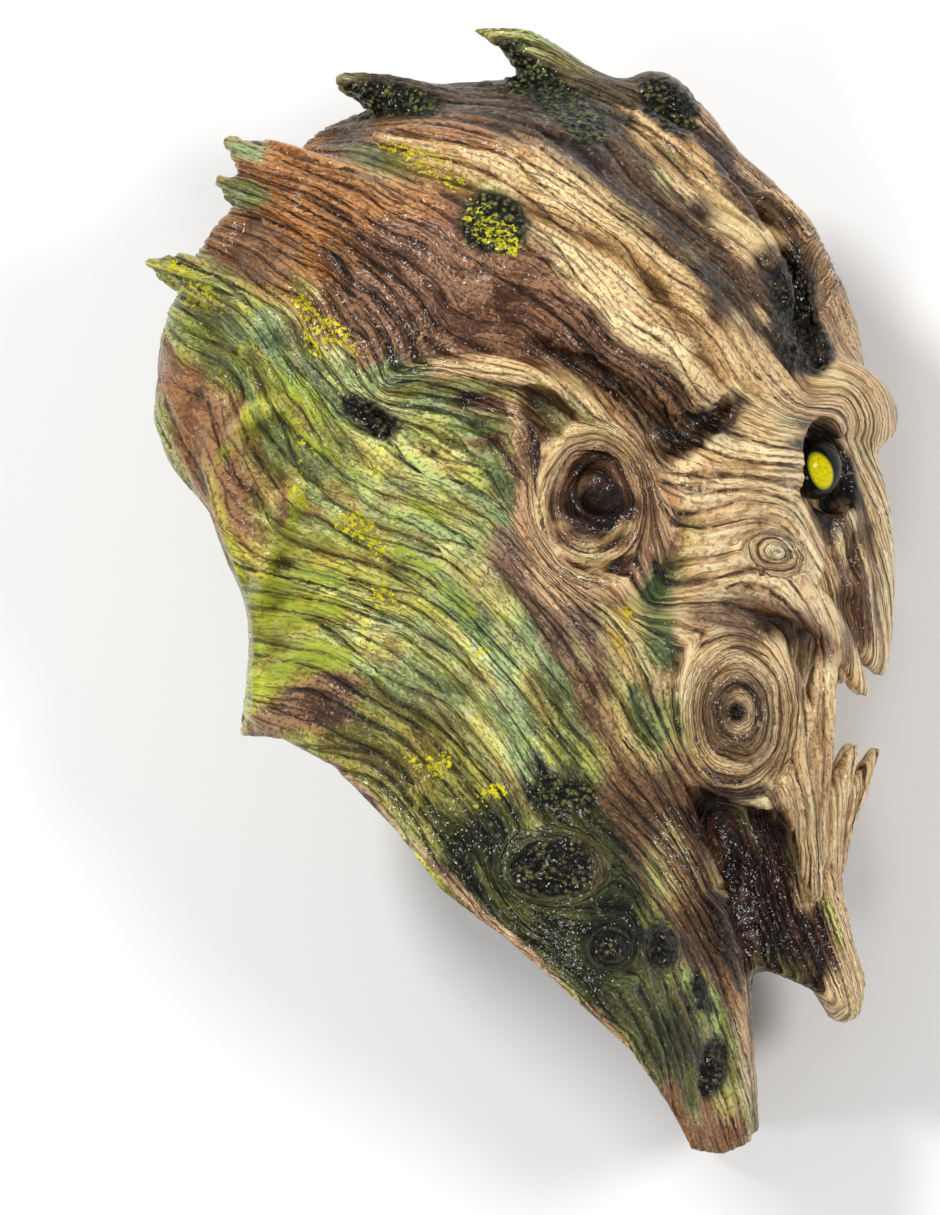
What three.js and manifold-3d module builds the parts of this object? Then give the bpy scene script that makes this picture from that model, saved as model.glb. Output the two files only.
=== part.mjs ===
// Wood spirit mask: a hollow full-head costume mask cast in latex, with a bib that lies on the chest,
// two glossy resin eyes, and no stand. It is shown as it lies when it isn't worn, on its left side.
//
// The mask is modelled in the wearer's own frame, in millimetres: f points forward from the middle of
// the head, u up from eye level, and r to the wearer's right. A distance field on a grid is built from
// the head's sections and from bark strands, spikes, knots and pits, which are mirrored in r = 0. The
// outer skin and the hollow are meshed from it, thinned, and cut with each other. The last group turns
// the finished mask onto its side, so that +X is roughly forward, +Y up the head and +Z the right cheek.
import * as THREE from "three";
import Module from "manifold-3d";
import { surfaceNet } from "three/addons/libs/surfaceNet.js";
import { MeshoptSimplifier } from "three/addons/libs/meshopt_simplifier.module.js";
import { mergeVertices } from "three/addons/utils/BufferGeometryUtils.js";

// Driving dimensions, in millimetres
const WALL = 3.6;
const WALL_UNDER_SOFT_FORM = 4.8;
const SOFTEN_CELLS = 2;
const CELL = 3;
const SKIN_TRIANGLES = 6450;
const HOLLOW_TRIANGLES = 1500;
const THINNING_ERROR = 4;
const HEM_OVERRUN = 18;
const GAP = 0.3;
const PINCH_GAP = 0.06;
const LOW = { f: -156, u: -300, r: 0 };
const HIGH = { f: 168, u: 198, r: 132 };

// The head's sections: height, front, back and half width
const CROWN_HEIGHT = 24;
const CROWN = { front: 139, back: 138, rise: 130, width: 105 };
const HEAD_LEVELS = [
  [24, 139, 138, 105],
  [0, 133, 124, 104],
  [-30, 129, 113, 98],
  [-60, 124, 101, 91],
  [-90, 117, 101, 84],
  [-108, 108, 103, 76],
  [-124, 88, 90, 62],
  [-140, 55, 60, 40],
  [-156, 20, 20, 15],
];
const NECK_LEVELS = [
  [-30, 40, 92, 80],
  [-60, 56, 99, 84],
  [-100, 66, 103, 85],
  [-128, 75, 104, 88],
  [-152, 82, 106, 93],
  [-192, 91, 108, 99],
  [-228, 95, 108, 97],
  [-256, 97, 108, 88],
  [-310, 99, 108, 74],
];

// A smooth curve through a table's rows, looked up by height
function section(rows, height) {
  const first = rows[0];
  const last = rows[rows.length - 1];
  if (height >= first[0]) return first.slice(1);
  if (height <= last[0]) return last.slice(1);
  const i = rows.findIndex((row) => row[0] <= height);
  const before = rows[Math.max(i - 2, 0)];
  const [a, b] = [rows[i - 1], rows[i]];
  const after = rows[Math.min(i + 1, rows.length - 1)];
  const t = (height - a[0]) / (b[0] - a[0]);
  return a.slice(1).map((_, n) => {
    const k = n + 1;
    const span = b[0] - a[0];
    const slopeA = ((b[k] - before[k]) / (b[0] - before[0] || 1)) * span;
    const slopeB = ((after[k] - a[k]) / (after[0] - a[0] || 1)) * span;
    const t2 = t * t;
    const t3 = t2 * t;
    return (
      (2 * t3 - 3 * t2 + 1) * a[k] +
      (t3 - 2 * t2 + t) * slopeA +
      (3 * t2 - 2 * t3) * b[k] +
      (t3 - t2) * slopeB
    );
  });
}

// How far a point lies outside an egg-shaped section, measured along its radius
function outsideSection(f, r, [front, back, width]) {
  const length = f > 0 ? front : back;
  const share = Math.hypot(f / length, r / width);
  const reach = Math.hypot(f, r);
  return share < 1e-4 ? -Math.min(length, width) : reach * (1 - 1 / share);
}

function outsideHead(f, u, r) {
  if (u <= CROWN_HEIGHT) return outsideSection(f, r, section(HEAD_LEVELS, u));
  const length = f > 0 ? CROWN.front : CROWN.back;
  const rise = u - CROWN_HEIGHT;
  const share = Math.hypot(f / length, rise / CROWN.rise, r / CROWN.width);
  const slope = Math.hypot(f / length ** 2, rise / CROWN.rise ** 2, r / CROWN.width ** 2);
  return slope < 1e-6 ? -CROWN.width : (share * (share - 1)) / slope;
}

const blend = (a, b, width) => {
  const h = Math.max(width - Math.abs(a - b), 0) / width;
  return Math.min(a, b) - (h * h * width) / 4;
};

// The base head and neck
function outsideBase(f, u, r) {
  const neck = u > -30 ? 60 : outsideSection(f, r, section(NECK_LEVELS, u));
  const head = u < -156 ? 60 : outsideHead(f, u, r);
  return Math.max(blend(head, neck, 14), LOW.u + 2 * CELL - u);
}

// A point on the head's right side, lifted off the base surface
function onSide(f, u, lift) {
  let [inside, outside] = [0, 130];
  for (let step = 0; step < 24; step++) {
    const middle = (inside + outside) / 2;
    if (outsideBase(f, u, middle) < 0) inside = middle;
    else outside = middle;
  }
  return new THREE.Vector3(f, u, inside + lift);
}
const at = (f, u, r) => new THREE.Vector3(f, u, r);

// Each eye is a ball, flattened along the line it looks along, which is turned outwards
const EYE = { centre: at(120, 4, 37), radius: 12.5, squash: 0.85, turn: 46 };

// Forms that are added or carved. Each has a box and a distance, and joins the field over a soft width.
function strand(stations, { soft = 6, carve = false, closed = false } = {}) {
  const points = stations.map(([point]) => point);
  const curve = new THREE.CatmullRomCurve3(points, closed, "centripetal");
  const spans = closed ? points.length : points.length - 1;
  const steps = Math.max(2, Math.ceil(curve.getLength() / 5));
  const line = [];
  for (let i = 0; i <= steps; i++) {
    const t = i / steps;
    const place = t * spans;
    const low = Math.min(Math.floor(place), spans - 1);
    const share = place - low;
    const radiusA = stations[low][1];
    const radiusB = stations[(low + 1) % stations.length][1];
    line.push({ point: curve.getPoint(t), radius: radiusA + (radiusB - radiusA) * share });
  }
  const pieces = line.slice(1).map((end, i) => {
    const start = line[i];
    const reach = Math.max(start.radius, end.radius) + soft + 2 * CELL;
    const box = new THREE.Box3().setFromPoints([start.point, end.point]).expandByScalar(reach);
    const along = end.point.clone().sub(start.point);
    const span = along.lengthSq() || 1;
    const distance = (f, u, r) => {
      const df = f - start.point.x;
      const du = u - start.point.y;
      const dr = r - start.point.z;
      const t = Math.min(Math.max((df * along.x + du * along.y + dr * along.z) / span, 0), 1);
      const gap = Math.hypot(df - t * along.x, du - t * along.y, dr - t * along.z);
      return gap - start.radius - t * (end.radius - start.radius);
    };
    return { box, distance };
  });
  return { pieces, soft, carve };
}

// An egg-shaped lump or pit, turned by tilt degrees in the side view and by swing about the head's height
function lump(centre, [long, short, deep], { tilt = 0, swing = 0, soft = 6, carve = false } = {}) {
  const turn = new THREE.Matrix4()
    .makeRotationY(THREE.MathUtils.degToRad(swing))
    .multiply(new THREE.Matrix4().makeRotationZ(THREE.MathUtils.degToRad(tilt)))
    .invert();
  const local = new THREE.Vector3();
  const reach = Math.max(long, short, deep) + soft + 2 * CELL;
  const box = new THREE.Box3().setFromPoints([centre]).expandByScalar(reach);
  const distance = (f, u, r) => {
    local.set(f - centre.x, u - centre.y, r - centre.z).applyMatrix4(turn);
    const share = Math.hypot(local.x / long, local.y / short, local.z / deep);
    const slope = Math.hypot(local.x / long ** 2, local.y / short ** 2, local.z / deep ** 2);
    return slope < 1e-6 ? -Math.min(long, short, deep) : (share * (share - 1)) / slope;
  };
  return { pieces: [{ box, distance }], soft, carve };
}

// A web of even thickness whose outline is drawn in the side view
function web(outline, halfThickness, { soft = 8 } = {}) {
  const corners = outline.map(([f, u]) => new THREE.Vector2(f, u));
  const box = new THREE.Box3()
    .setFromPoints(outline.map(([f, u]) => at(f, u, 0)))
    .expandByScalar(halfThickness + soft + 2 * CELL);
  const distance = (f, u, r) => {
    let nearest = Infinity;
    let inside = false;
    corners.forEach((a, i) => {
      const b = corners[(i + 1) % corners.length];
      const [sf, su] = [b.x - a.x, b.y - a.y];
      const t = Math.min(Math.max(((f - a.x) * sf + (u - a.y) * su) / (sf * sf + su * su), 0), 1);
      nearest = Math.min(nearest, Math.hypot(f - a.x - t * sf, u - a.y - t * su));
      if (a.y > u !== b.y > u && f < a.x + ((u - a.y) / su) * sf) inside = !inside;
    });
    const flat = (inside ? -nearest : nearest) + 4;
    const side = Math.abs(r) - halfThickness + 4;
    return Math.min(Math.max(flat, side), 0) + Math.hypot(Math.max(flat, 0), Math.max(side, 0)) - 4;
  };
  return { pieces: [{ box, distance }], soft, carve: false };
}

// A groove or a ridge of the same depth wherever the skin is, along a line drawn in the side view
function relief(line, width, depth, { closed = false, inner = 0 } = {}) {
  const curve = new THREE.CatmullRomCurve3(line.map(([f, u]) => at(f, u, 0)), closed, "centripetal");
  const points = curve.getPoints(Math.max(4, Math.ceil(curve.getLength() / 5)));
  const box = new THREE.Box3().setFromPoints(points).expandByScalar(width);
  box.min.z = inner;
  box.max.z = HIGH.r;
  const last = points.length - 1;
  const depthAt = (f, u) => {
    let [nearest, place] = [Infinity, 0];
    for (let i = 1; i <= last; i++) {
      const a = points[i - 1];
      const [sf, su] = [points[i].x - a.x, points[i].y - a.y];
      const t = Math.min(Math.max(((f - a.x) * sf + (u - a.y) * su) / (sf * sf + su * su), 0), 1);
      const gap = Math.hypot(f - a.x - t * sf, u - a.y - t * su);
      if (gap < nearest) [nearest, place] = [gap, (i - 1 + t) / last];
    }
    const share = Math.max(1 - (nearest / width) ** 2, 0);
    const ends = closed ? 1 : Math.min(1, 4 * place, 4 * (1 - place));
    return depth * share * share * ends;
  };
  return { box, depthAt };
}

// Rings about a knot, drawn in the side view
function ripple(f, u, long, tall, rings, depth, inner) {
  const box = new THREE.Box3(at(f - long, u - tall, inner), at(f + long, u + tall, HIGH.r));
  const depthAt = (x, y) => {
    const share = Math.hypot((x - f) / long, (y - u) / tall);
    if (share > 1) return 0;
    return depth * Math.max(0, -Math.cos(share * rings * 2 * Math.PI)) * Math.min(1, 4 * (1 - share));
  };
  return { box, depthAt };
}

// Forms of the forehead and crown
function crownForms() {
  return [
    // the crest along the middle of the head
    strand([
      [at(-66, 126, 0), 14],
      [at(-30, 139, 0), 17],
      [at(10, 141, 0), 18],
      [at(46, 139, 0), 20],
      [at(62, 139, 0), 18],
      [at(82, 118, 0), 16],
      [at(104, 95, 0), 17],
    ], { soft: 12 }),
    // a mossy boss on the crest, with a pit on each side of it
    lump(at(60, 152, 0), [13, 11, 15], { tilt: -30, soft: 6 }),
    lump(at(66, 147, 22), [12, 8, 9], { tilt: -35, soft: 4, carve: true }),
    // the hooked spike on the crest
    strand([
      [at(40, 142, 0), 15],
      [at(24, 158, 0), 11],
      [at(10, 170, 0), 8.5],
      [at(0, 177, 0), 5.5],
      [at(-11, 181, 0), 2.6],
    ], { soft: 8 }),
    // a shorter spike behind it on each side
    strand([
      [at(-30, 144, 14), 13],
      [at(-48, 153, 15), 8],
      [at(-66, 159, 15), 2.6],
    ], { soft: 6 }),
    // the long bleached root that sweeps from a point at the back down to the cheekbone
    strand([
      [at(-51, 134, 52), 2.6],
      [at(-34, 131, 56), 8],
      [onSide(-14, 125, -2), 12],
      [onSide(6, 115, -5), 16],
      [onSide(28, 101, -7), 18],
      [onSide(52, 82, -7), 18],
      [onSide(76, 55, -7), 15],
      [onSide(92, 30, -7), 13],
      [onSide(100, 12, -6), 11],
    ], { soft: 5 }),
    // the mossy clump between it and the temple log
    lump(onSide(0, 103, 1), [14, 13, 7], { soft: 4 }),
    // the shorter root on the forehead
    strand([
      [at(53, 142, 30), 5],
      [at(64, 131, 36), 8],
      [at(80, 112, 41), 10],
      [at(96, 90, 45), 9],
      [at(108, 70, 45), 6],
    ], { soft: 4 }),
    // the valley between that root and the middle of the forehead
    strand([
      [at(73, 138, 27), 3],
      [at(93, 111, 31), 5],
      [at(108, 86, 36), 6],
      [at(117, 64, 42), 7],
      [at(123, 47, 47), 4],
    ], { soft: 4, carve: true }),
    // the middle of the forehead, with its long knot
    strand([
      [at(92, 100, 0), 17],
      [at(113, 79, 0), 17],
      [at(123, 58, 0), 16],
      [at(128, 38, 0), 14],
    ], { soft: 12 }),
    lump(at(114, 88, 20), [30, 12, 12], { tilt: -60, swing: 25, soft: 5 }),
    // the heavy brow, rolled over the bridge of the nose
    strand([
      [at(122, 38, 42), 8],
      [at(131, 37, 30), 10],
      [at(139, 32, 16), 12],
      [at(144, 25, 0), 12.5],
    ], { soft: 7 }),
  ];
}

// Forms of the temple and the back of the head
function templeForms() {
  return [
    // the broad temple log, rounded off over the cheekbone
    strand([
      [at(-109, 131, 50), 2.6],
      [at(-96, 123, 52), 9],
      [at(-74, 108, 56), 18],
      [onSide(-42, 92, -16), 26],
      [onSide(-4, 76, -17), 30],
      [onSide(32, 58, -16), 31],
      [onSide(56, 42, -15), 27],
      [onSide(68, 32, -13), 21],
    ], { soft: 9 }),
    relief([[4, 104], [24, 96], [45, 84], [60, 68], [74, 50], [82, 36], [83, 22]], 7, 5, { inner: 40 }),
    // two thorns behind it
    strand([
      [at(-84, 104, 58), 12],
      [at(-100, 111, 52), 7],
      [at(-113, 116, 47), 2.6],
    ], { soft: 6 }),
    strand([
      [at(-82, 58, 66), 16],
      [at(-104, 72, 60), 13],
      [at(-124, 80, 50), 8],
      [at(-140, 84, 42), 2.8],
    ], { soft: 9 }),
    // the dished hollow between the thorns
    lump(at(-102, 92, 70), [20, 15, 16], { tilt: -20, swing: -50, soft: 8, carve: true }),
    // swellings low on the back of the head
    lump(at(-112, 26, 26), [26, 32, 26], { soft: 14 }),
    lump(at(-119, 58, 22), [16, 20, 22], { soft: 10 }),
    // cords of bark down the back of the head
    ...backCords(),
    // a knothole above and behind the ear
    lump(onSide(-54, 21, 1), [9, 4.5, 5], { tilt: -35, soft: 3, carve: true }),
    // roots that creep down the nape
    ...napeRoots(),
  ];
}

function backCords() {
  const cords = [
    [[-70, 126, 22, 5], [-96, 108, 26, 9], [-114, 84, 28, 10], [-124, 56, 24, 9], [-126, 28, 20, 8], [-116, 0, 22, 6]],
    [[-92, 112, 8, 4], [-118, 86, 6, 7], [-130, 56, 8, 7], [-132, 26, 6, 6], [-120, -4, 8, 4]],
    [[-104, 46, 58, 6], [-112, 20, 56, 7], [-108, -8, 58, 6], [-98, -34, 60, 5]],
  ];
  return cords.map((cord) =>
    strand(cord.map(([f, u, r, radius]) => [at(f, u, r), radius]), { soft: 6 }),
  );
}

function napeRoots() {
  const roots = [
    [[-86, 29, 4], [-100, 23, 5], [-106, 12, 5], [-112, 2, 4.5], [-108, -14, 4]],
    [[-124, 20, 3.5], [-118, 4, 4.5], [-111, -14, 5], [-103, -34, 5], [-97, -56, 4]],
    [[-80, -3, 3.5], [-93, -14, 4.5], [-96, -36, 5], [-96, -58, 5], [-97, -92, 4.5]],
  ];
  return roots.map((root) =>
    strand(root.map(([f, u, radius]) => [onSide(f, u, 1), radius]), { soft: 4 }),
  );
}

// Forms of the ear, an old knot with an arched bark rim
function earForms() {
  const rim = [[30, 20], [48, 10], [57, -6], [57, -24], [46, -42], [32, -42], [18, -36], [11, -18], [12, 0], [18, 13]];
  const upperLid = [[15, -6], [23, 9], [35, 13], [46, 6], [50, -6]];
  const lowerLid = [[20, -16], [35, -22], [49, -16]];
  return [
    strand(rim.map(([f, u]) => [onSide(f, u, 0), 5.5]), { closed: true, soft: 4 }),
    strand([
      [onSide(-50, 35, 1), 2.6],
      [onSide(-30, 40, 3), 4.5],
      [onSide(-12, 41, 4), 5.5],
      [onSide(8, 37, 4), 6],
      [onSide(28, 26, 3), 6],
      [onSide(46, 13, 2), 6],
    ], { soft: 4 }),
    // the groove under the temple log, deepest at its front end
    strand([
      [onSide(-2, 50, 6), 3],
      [onSide(22, 44, 4), 4.5],
      [onSide(42, 31, 2), 6.5],
      [onSide(58, 16, -1), 9],
      [onSide(71, 17, 0), 7.5],
      [onSide(82, 28, 2), 3.5],
    ], { soft: 4, carve: true }),
    // the hollow behind the rim, crossed by a bar
    lump(onSide(13, 25, 3), [6, 11, 7], { tilt: 40, soft: 3, carve: true }),
    lump(onSide(-12, 25, 4), [13, 8, 6], { tilt: -12, soft: 3, carve: true }),
    lump(onSide(-9, 25, 1), [8, 3.5, 4], { tilt: -8, soft: 2 }),
    lump(onSide(-10, 14, 1), [6, 3.5, 4], { tilt: -8, soft: 2 }),
    // the knot's own bowl, with a round bud between lids
    lump(onSide(34, -6, 5), [15, 19, 11], { soft: 3, carve: true }),
    lump(onSide(36, -5, -6), [10.5, 11, 12], { soft: 2 }),
    strand(upperLid.map(([f, u]) => [onSide(f, u, -2), 4]), { soft: 3 }),
    strand(lowerLid.map(([f, u]) => [onSide(f, u, -3), 3.6]), { soft: 2 }),
  ];
}

// Forms of the face
function faceForms() {
  return [
    // the cheekbone, from the ear to the eye
    strand([
      [onSide(62, -6, -10), 14],
      [onSide(80, -6, -10), 17],
      [onSide(98, -2, -9), 14],
      [at(109, 4, 53), 9],
    ], { soft: 8 }),
    // the cheek, one broad bulge down to the lip
    strand([
      [onSide(66, -24, -10), 12],
      [onSide(84, -26, -9), 15],
      [at(100, -28, 56), 15],
      [at(113, -32, 44), 12],
    ], { soft: 9 }),
    // the beak of a nose
    strand([
      [at(138, 10, 0), 9],
      [at(143, -12, 0), 10],
      [at(145.5, -40, 0), 9.5],
      [at(146.5, -60, 0), 7.5],
      [at(149, -75.5, 0), 3],
    ], { soft: 6 }),
    // the nose's flanks, each with two long hollows
    strand([
      [at(130, 8, 9), 8],
      [at(131, -16, 13), 11],
      [at(133, -40, 13), 12],
      [at(138, -58, 8), 9],
      [at(145, -70, 3), 4.5],
    ], { soft: 6 }),
    lump(at(139, -30, 25), [5, 12, 6], { tilt: -10, swing: 35, soft: 3, carve: true }),
    lump(at(138, -54, 22), [4.5, 10, 6], { tilt: 30, swing: 35, soft: 3, carve: true }),
    // the long lip that runs from the cheek to a fang
    strand([
      [onSide(80, -38, -2), 6],
      [onSide(96, -42, -1), 9],
      [at(110, -47, 54), 9.5],
      [at(122, -54, 41), 8],
      [at(132, -66, 27), 5.5],
      [at(142, -86, 17), 2.4],
    ], { soft: 4 }),
    strand([
      [at(128, -56, 8), 9],
      [at(130, -66, 0), 9],
      [at(132, -78, 0), 5],
    ], { soft: 6 }),
    // the small oval knot under the eye
    relief([[97, -27], [103, -23], [110, -25], [115, -30], [111, -35], [104, -35], [98, -32]], 2.6, 2.2, { closed: true, inner: 40 }),
    relief([[103, -28], [111, -30]], 4, -2.4, { closed: true, inner: 40 }),
    relief([[81, -38], [84, -29], [92, -22], [104, -17], [113, -21], [119, -29]], 3.5, 2.6, { inner: 40 }),
    // the round cheek knot with its rings
    lump(onSide(88, -91, -12), [27, 29, 24], { swing: 28, soft: 8 }),
    ripple(91, -91, 22, 28, 2, 3, 50),
    // the sunk panel above the knot
    strand([
      [onSide(70, -58, 5), 6],
      [onSide(88, -60, 6), 8],
      [onSide(106, -62, 5), 7],
    ], { soft: 6, carve: true }),
    // the mossy hollow behind the knot
    strand([
      [onSide(60, -40, 4), 6],
      [onSide(58, -62, 4), 8],
      [onSide(60, -88, 4), 8],
      [onSide(62, -100, 4), 5],
    ], { soft: 6, carve: true }),
  ];
}

// Forms of the jaw, the chin and the throat
function jawForms() {
  return [
    // the bark cords at the corner of the mouth, which end in a tine
    strand([
      [at(127, -62, 32), 5.5],
      [at(124, -82, 33), 6],
      [at(121, -106, 33), 7.5],
      [at(119, -127, 30), 8],
      [at(119, -147, 26), 6],
      [at(122, -165, 20), 2.6],
    ], { soft: 4 }),
    strand([
      [onSide(104, -64, 1), 5],
      [at(112, -90, 46), 7],
      [at(111, -112, 42), 8],
      [at(114, -130, 34), 8],
    ], { soft: 5 }),
    // the lower lip's cords, which end in tusks
    strand([
      [at(124, -146, 15), 7],
      [at(128, -130, 18), 6.5],
      [at(133, -118, 18), 4.5],
      [at(138, -105, 18), 1.8],
    ], { soft: 4 }),
    strand([
      [at(126, -150, 0), 9],
      [at(133, -132, 5), 7],
      [at(141, -120, 7), 4.2],
      [at(147, -108, 8), 1.8],
    ], { soft: 4 }),
    // the chin, a long tongue of bark
    strand([
      [at(120, -130, 0), 13],
      [at(121, -150, 0), 12],
      [at(124, -168, 0), 10.5],
      [at(129, -186, 0), 9.5],
      [at(134, -200, 0), 9],
      [at(134, -209, 0), 7.5],
    ], { soft: 6 }),
    // the throat web between chin and neck
    web([[60, -104], [112, -112], [132, -180], [136, -212], [122, -203], [104, -196], [84, -192], [66, -178]], 14, { soft: 8 }),
    // the jawline above the throat
    strand([
      [onSide(56, -98, 0), 5],
      [onSide(70, -110, 2), 7],
      [at(88, -120, 56), 7],
      [at(106, -124, 44), 7],
    ], { soft: 6 }),
  ];
}

// Forms of the neck and the bib
function bibForms() {
  const pits = [
    [17, -151, 18, 12, 5, 0],
    [39, -182, 8, 8, 4, 0],
    [59, -183, 5.5, 8, 4, 0],
    [74, -201, 5.5, 9.5, 4, -12],
    [80, -231, 5.5, 13, 4, -14],
  ];
  return [
    // the cord that sweeps from under the ear down the front of the bib
    strand([
      [onSide(14, -42, -5), 10],
      [onSide(31, -70, -5), 12],
      [onSide(46, -98, -5), 13],
      [onSide(57, -126, -6), 13],
      [at(70, -156, 50), 13],
      [at(78, -186, 38), 14],
      [at(81, -216, 32), 14],
      [at(82, -262, 30), 14],
    ], { soft: 7 }),
    strand([
      [at(70, -140, 0), 10],
      [at(82, -192, 0), 12],
      [at(86, -262, 0), 12],
    ], { soft: 12 }),
    ...pits.map(([f, u, long, tall, deep, tilt]) =>
      lump(onSide(f, u, 2.5), [long, tall, deep], { tilt, soft: 3, carve: true }),
    ),
  ];
}

// Sockets and the way into the mouth, carved from the outside
function carvedForms() {
  return [
    lump(at(126, 2, 42), [13.5, 22, 25], { tilt: 12, swing: 4, soft: 3, carve: true }),
    // the pocket between the eye and the nose, which the wearer looks out through
    lump(at(128, 3, 21), [15, 17, 5.5], { soft: 2, carve: true }),
    // the bed that each eye is glued into
    lump(EYE.centre, [EYE.radius + GAP, EYE.radius + GAP, EYE.radius * EYE.squash + GAP], {
      swing: 90 - EYE.turn,
      soft: 0.5,
      carve: true,
    }),
    lump(at(136, -95, 0), [14, 13, 25], { soft: 4, carve: true }),
    lump(onSide(117, -75, 0).add(at(0, 0, 2)), [5.5, 13, 11], { tilt: -14, swing: 20, soft: 3, carve: true }),
    strand([[at(104, 76, 60), 4], [at(114, 62, 54), 6], [at(122, 48, 48), 5]], { soft: 4, carve: true }),
  ];
}

// The field on its grid, right half only
const COUNT = {
  f: Math.round((HIGH.f - LOW.f) / CELL) + 1,
  u: Math.round((HIGH.u - LOW.u) / CELL) + 1,
  r: Math.round((HIGH.r - LOW.r) / CELL) + 1,
};
const slot = (i, j, k) => i + COUNT.f * (j + COUNT.u * k);

function eachInBox(box, visit) {
  const range = (axis, key) => [
    Math.max(0, Math.ceil((box.min[axis] - LOW[key]) / CELL)),
    Math.min(COUNT[key] - 1, Math.floor((box.max[axis] - LOW[key]) / CELL)),
  ];
  const [[i0, i1], [j0, j1], [k0, k1]] = [range("x", "f"), range("y", "u"), range("z", "r")];
  for (let k = k0; k <= k1; k++)
    for (let j = j0; j <= j1; j++)
      for (let i = i0; i <= i1; i++)
        visit(slot(i, j, k), LOW.f + i * CELL, LOW.u + j * CELL, LOW.r + k * CELL);
}

function baseField() {
  const rough = new Float32Array(COUNT.f * COUNT.u * COUNT.r);
  const whole = new THREE.Box3(at(LOW.f, LOW.u, LOW.r), at(HIGH.f, HIGH.u, HIGH.r));
  eachInBox(whole, (n, f, u, r) => {
    rough[n] = outsideBase(f, u, r);
  });
  // divided by its slope, so that it measures true distance near the surface
  const field = rough.slice();
  const steps = [1, COUNT.f, COUNT.f * COUNT.u];
  for (let k = 0; k < COUNT.r - 1; k++)
    for (let j = 1; j < COUNT.u - 1; j++)
      for (let i = 1; i < COUNT.f - 1; i++) {
        const n = slot(i, j, k);
        const slopes = steps.map((step, axis) => {
          const back = axis === 2 && k === 0 ? n + step : n - step;
          return (rough[n + step] - rough[back]) / (2 * CELL);
        });
        field[n] = rough[n] / Math.min(Math.max(Math.hypot(...slopes), 0.5), 3);
      }
  return field;
}

function addForm(field, { pieces, soft, carve, box, depthAt }) {
  if (depthAt) {
    eachInBox(box, (n, f, u) => {
      field[n] += depthAt(f, u);
    });
    return;
  }
  const nearest = new Map();
  for (const { box, distance } of pieces)
    eachInBox(box, (n, f, u, r) => {
      const gap = distance(f, u, r);
      const known = nearest.get(n);
      if (known === undefined || gap < known) nearest.set(n, gap);
    });
  for (const [n, gap] of nearest)
    field[n] = carve ? -blend(-field[n], gap, soft) : blend(field[n], gap, soft);
}

// A copy of the field with its fine forms averaged away
function softened(field) {
  let from = field;
  for (const axis of ["f", "u", "r"]) {
    const to = new Float32Array(from.length);
    for (let k = 0; k < COUNT.r; k++)
      for (let j = 0; j < COUNT.u; j++)
        for (let i = 0; i < COUNT.f; i++) {
          let sum = 0;
          for (let d = -SOFTEN_CELLS; d <= SOFTEN_CELLS; d++) {
            const [a, b] = [axis === "f" ? i + d : i, axis === "u" ? j + d : j];
            const c = Math.abs(axis === "r" ? k + d : k);
            const edge = (v, key) => Math.min(Math.max(v, 0), COUNT[key] - 1);
            sum += from[slot(edge(a, "f"), edge(b, "u"), edge(c, "r"))];
          }
          to[slot(i, j, k)] = sum / (2 * SOFTEN_CELLS + 1);
        }
    from = to;
  }
  return from;
}

// The zero surface of a field, both halves, as an indexed geometry
function surfaceOf(field) {
  const dims = [COUNT.f, COUNT.u, 2 * COUNT.r - 1];
  const value = (x, y, z) => {
    const i = Math.round((x - LOW.f) / CELL);
    const j = Math.round((y - LOW.u) / CELL);
    const k = Math.abs(Math.round(z / CELL));
    return field[slot(Math.min(i, COUNT.f - 1), Math.min(j, COUNT.u - 1), Math.min(k, COUNT.r - 1))];
  };
  const corner = [LOW.f, LOW.u, -(COUNT.r - 1) * CELL];
  const far = corner.map((low, axis) => low + dims[axis] * CELL);
  const net = surfaceNet(dims, value, [corner, far]);
  const geometry = new THREE.BufferGeometry();
  geometry.setAttribute("position", new THREE.Float32BufferAttribute(net.positions.flat(), 3));
  geometry.setIndex(net.cells.flat());
  return geometry;
}

// The same surface with fewer triangles
function thinned(geometry, triangles) {
  const index = Uint32Array.from(geometry.index.array);
  const position = Float32Array.from(geometry.attributes.position.array);
  const [kept] = MeshoptSimplifier.simplify(index, position, 3, triangles * 3, THINNING_ERROR, ["ErrorAbsolute"]);
  const loose = new THREE.BufferGeometry();
  loose.setAttribute("position", new THREE.BufferAttribute(position, 3));
  loose.setIndex(new THREE.BufferAttribute(kept, 1));
  return mergeVertices(loose.toNonIndexed(), 1e-3);
}

await MeshoptSimplifier.ready;
const wasm = await Module();
wasm.setup();

function solidFrom(geometry) {
  const bare = new THREE.BufferGeometry();
  bare.setAttribute("position", geometry.getAttribute("position"));
  if (geometry.index) bare.setIndex(geometry.index);
  const merged = mergeVertices(bare, 1e-3);
  const mesh = new wasm.Mesh({
    numProp: 3,
    vertProperties: Float32Array.from(merged.attributes.position.array),
    triVerts: Uint32Array.from(merged.index.array),
  });
  return new wasm.Manifold(mesh);
}

function geometryFrom(solid) {
  const mesh = solid.getMesh();
  const geometry = new THREE.BufferGeometry();
  geometry.setAttribute("position", new THREE.BufferAttribute(Float32Array.from(mesh.vertProperties), 3));
  geometry.setIndex(new THREE.BufferAttribute(Uint32Array.from(mesh.triVerts), 1));
  geometry.computeVertexNormals();
  return geometry;
}

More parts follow.
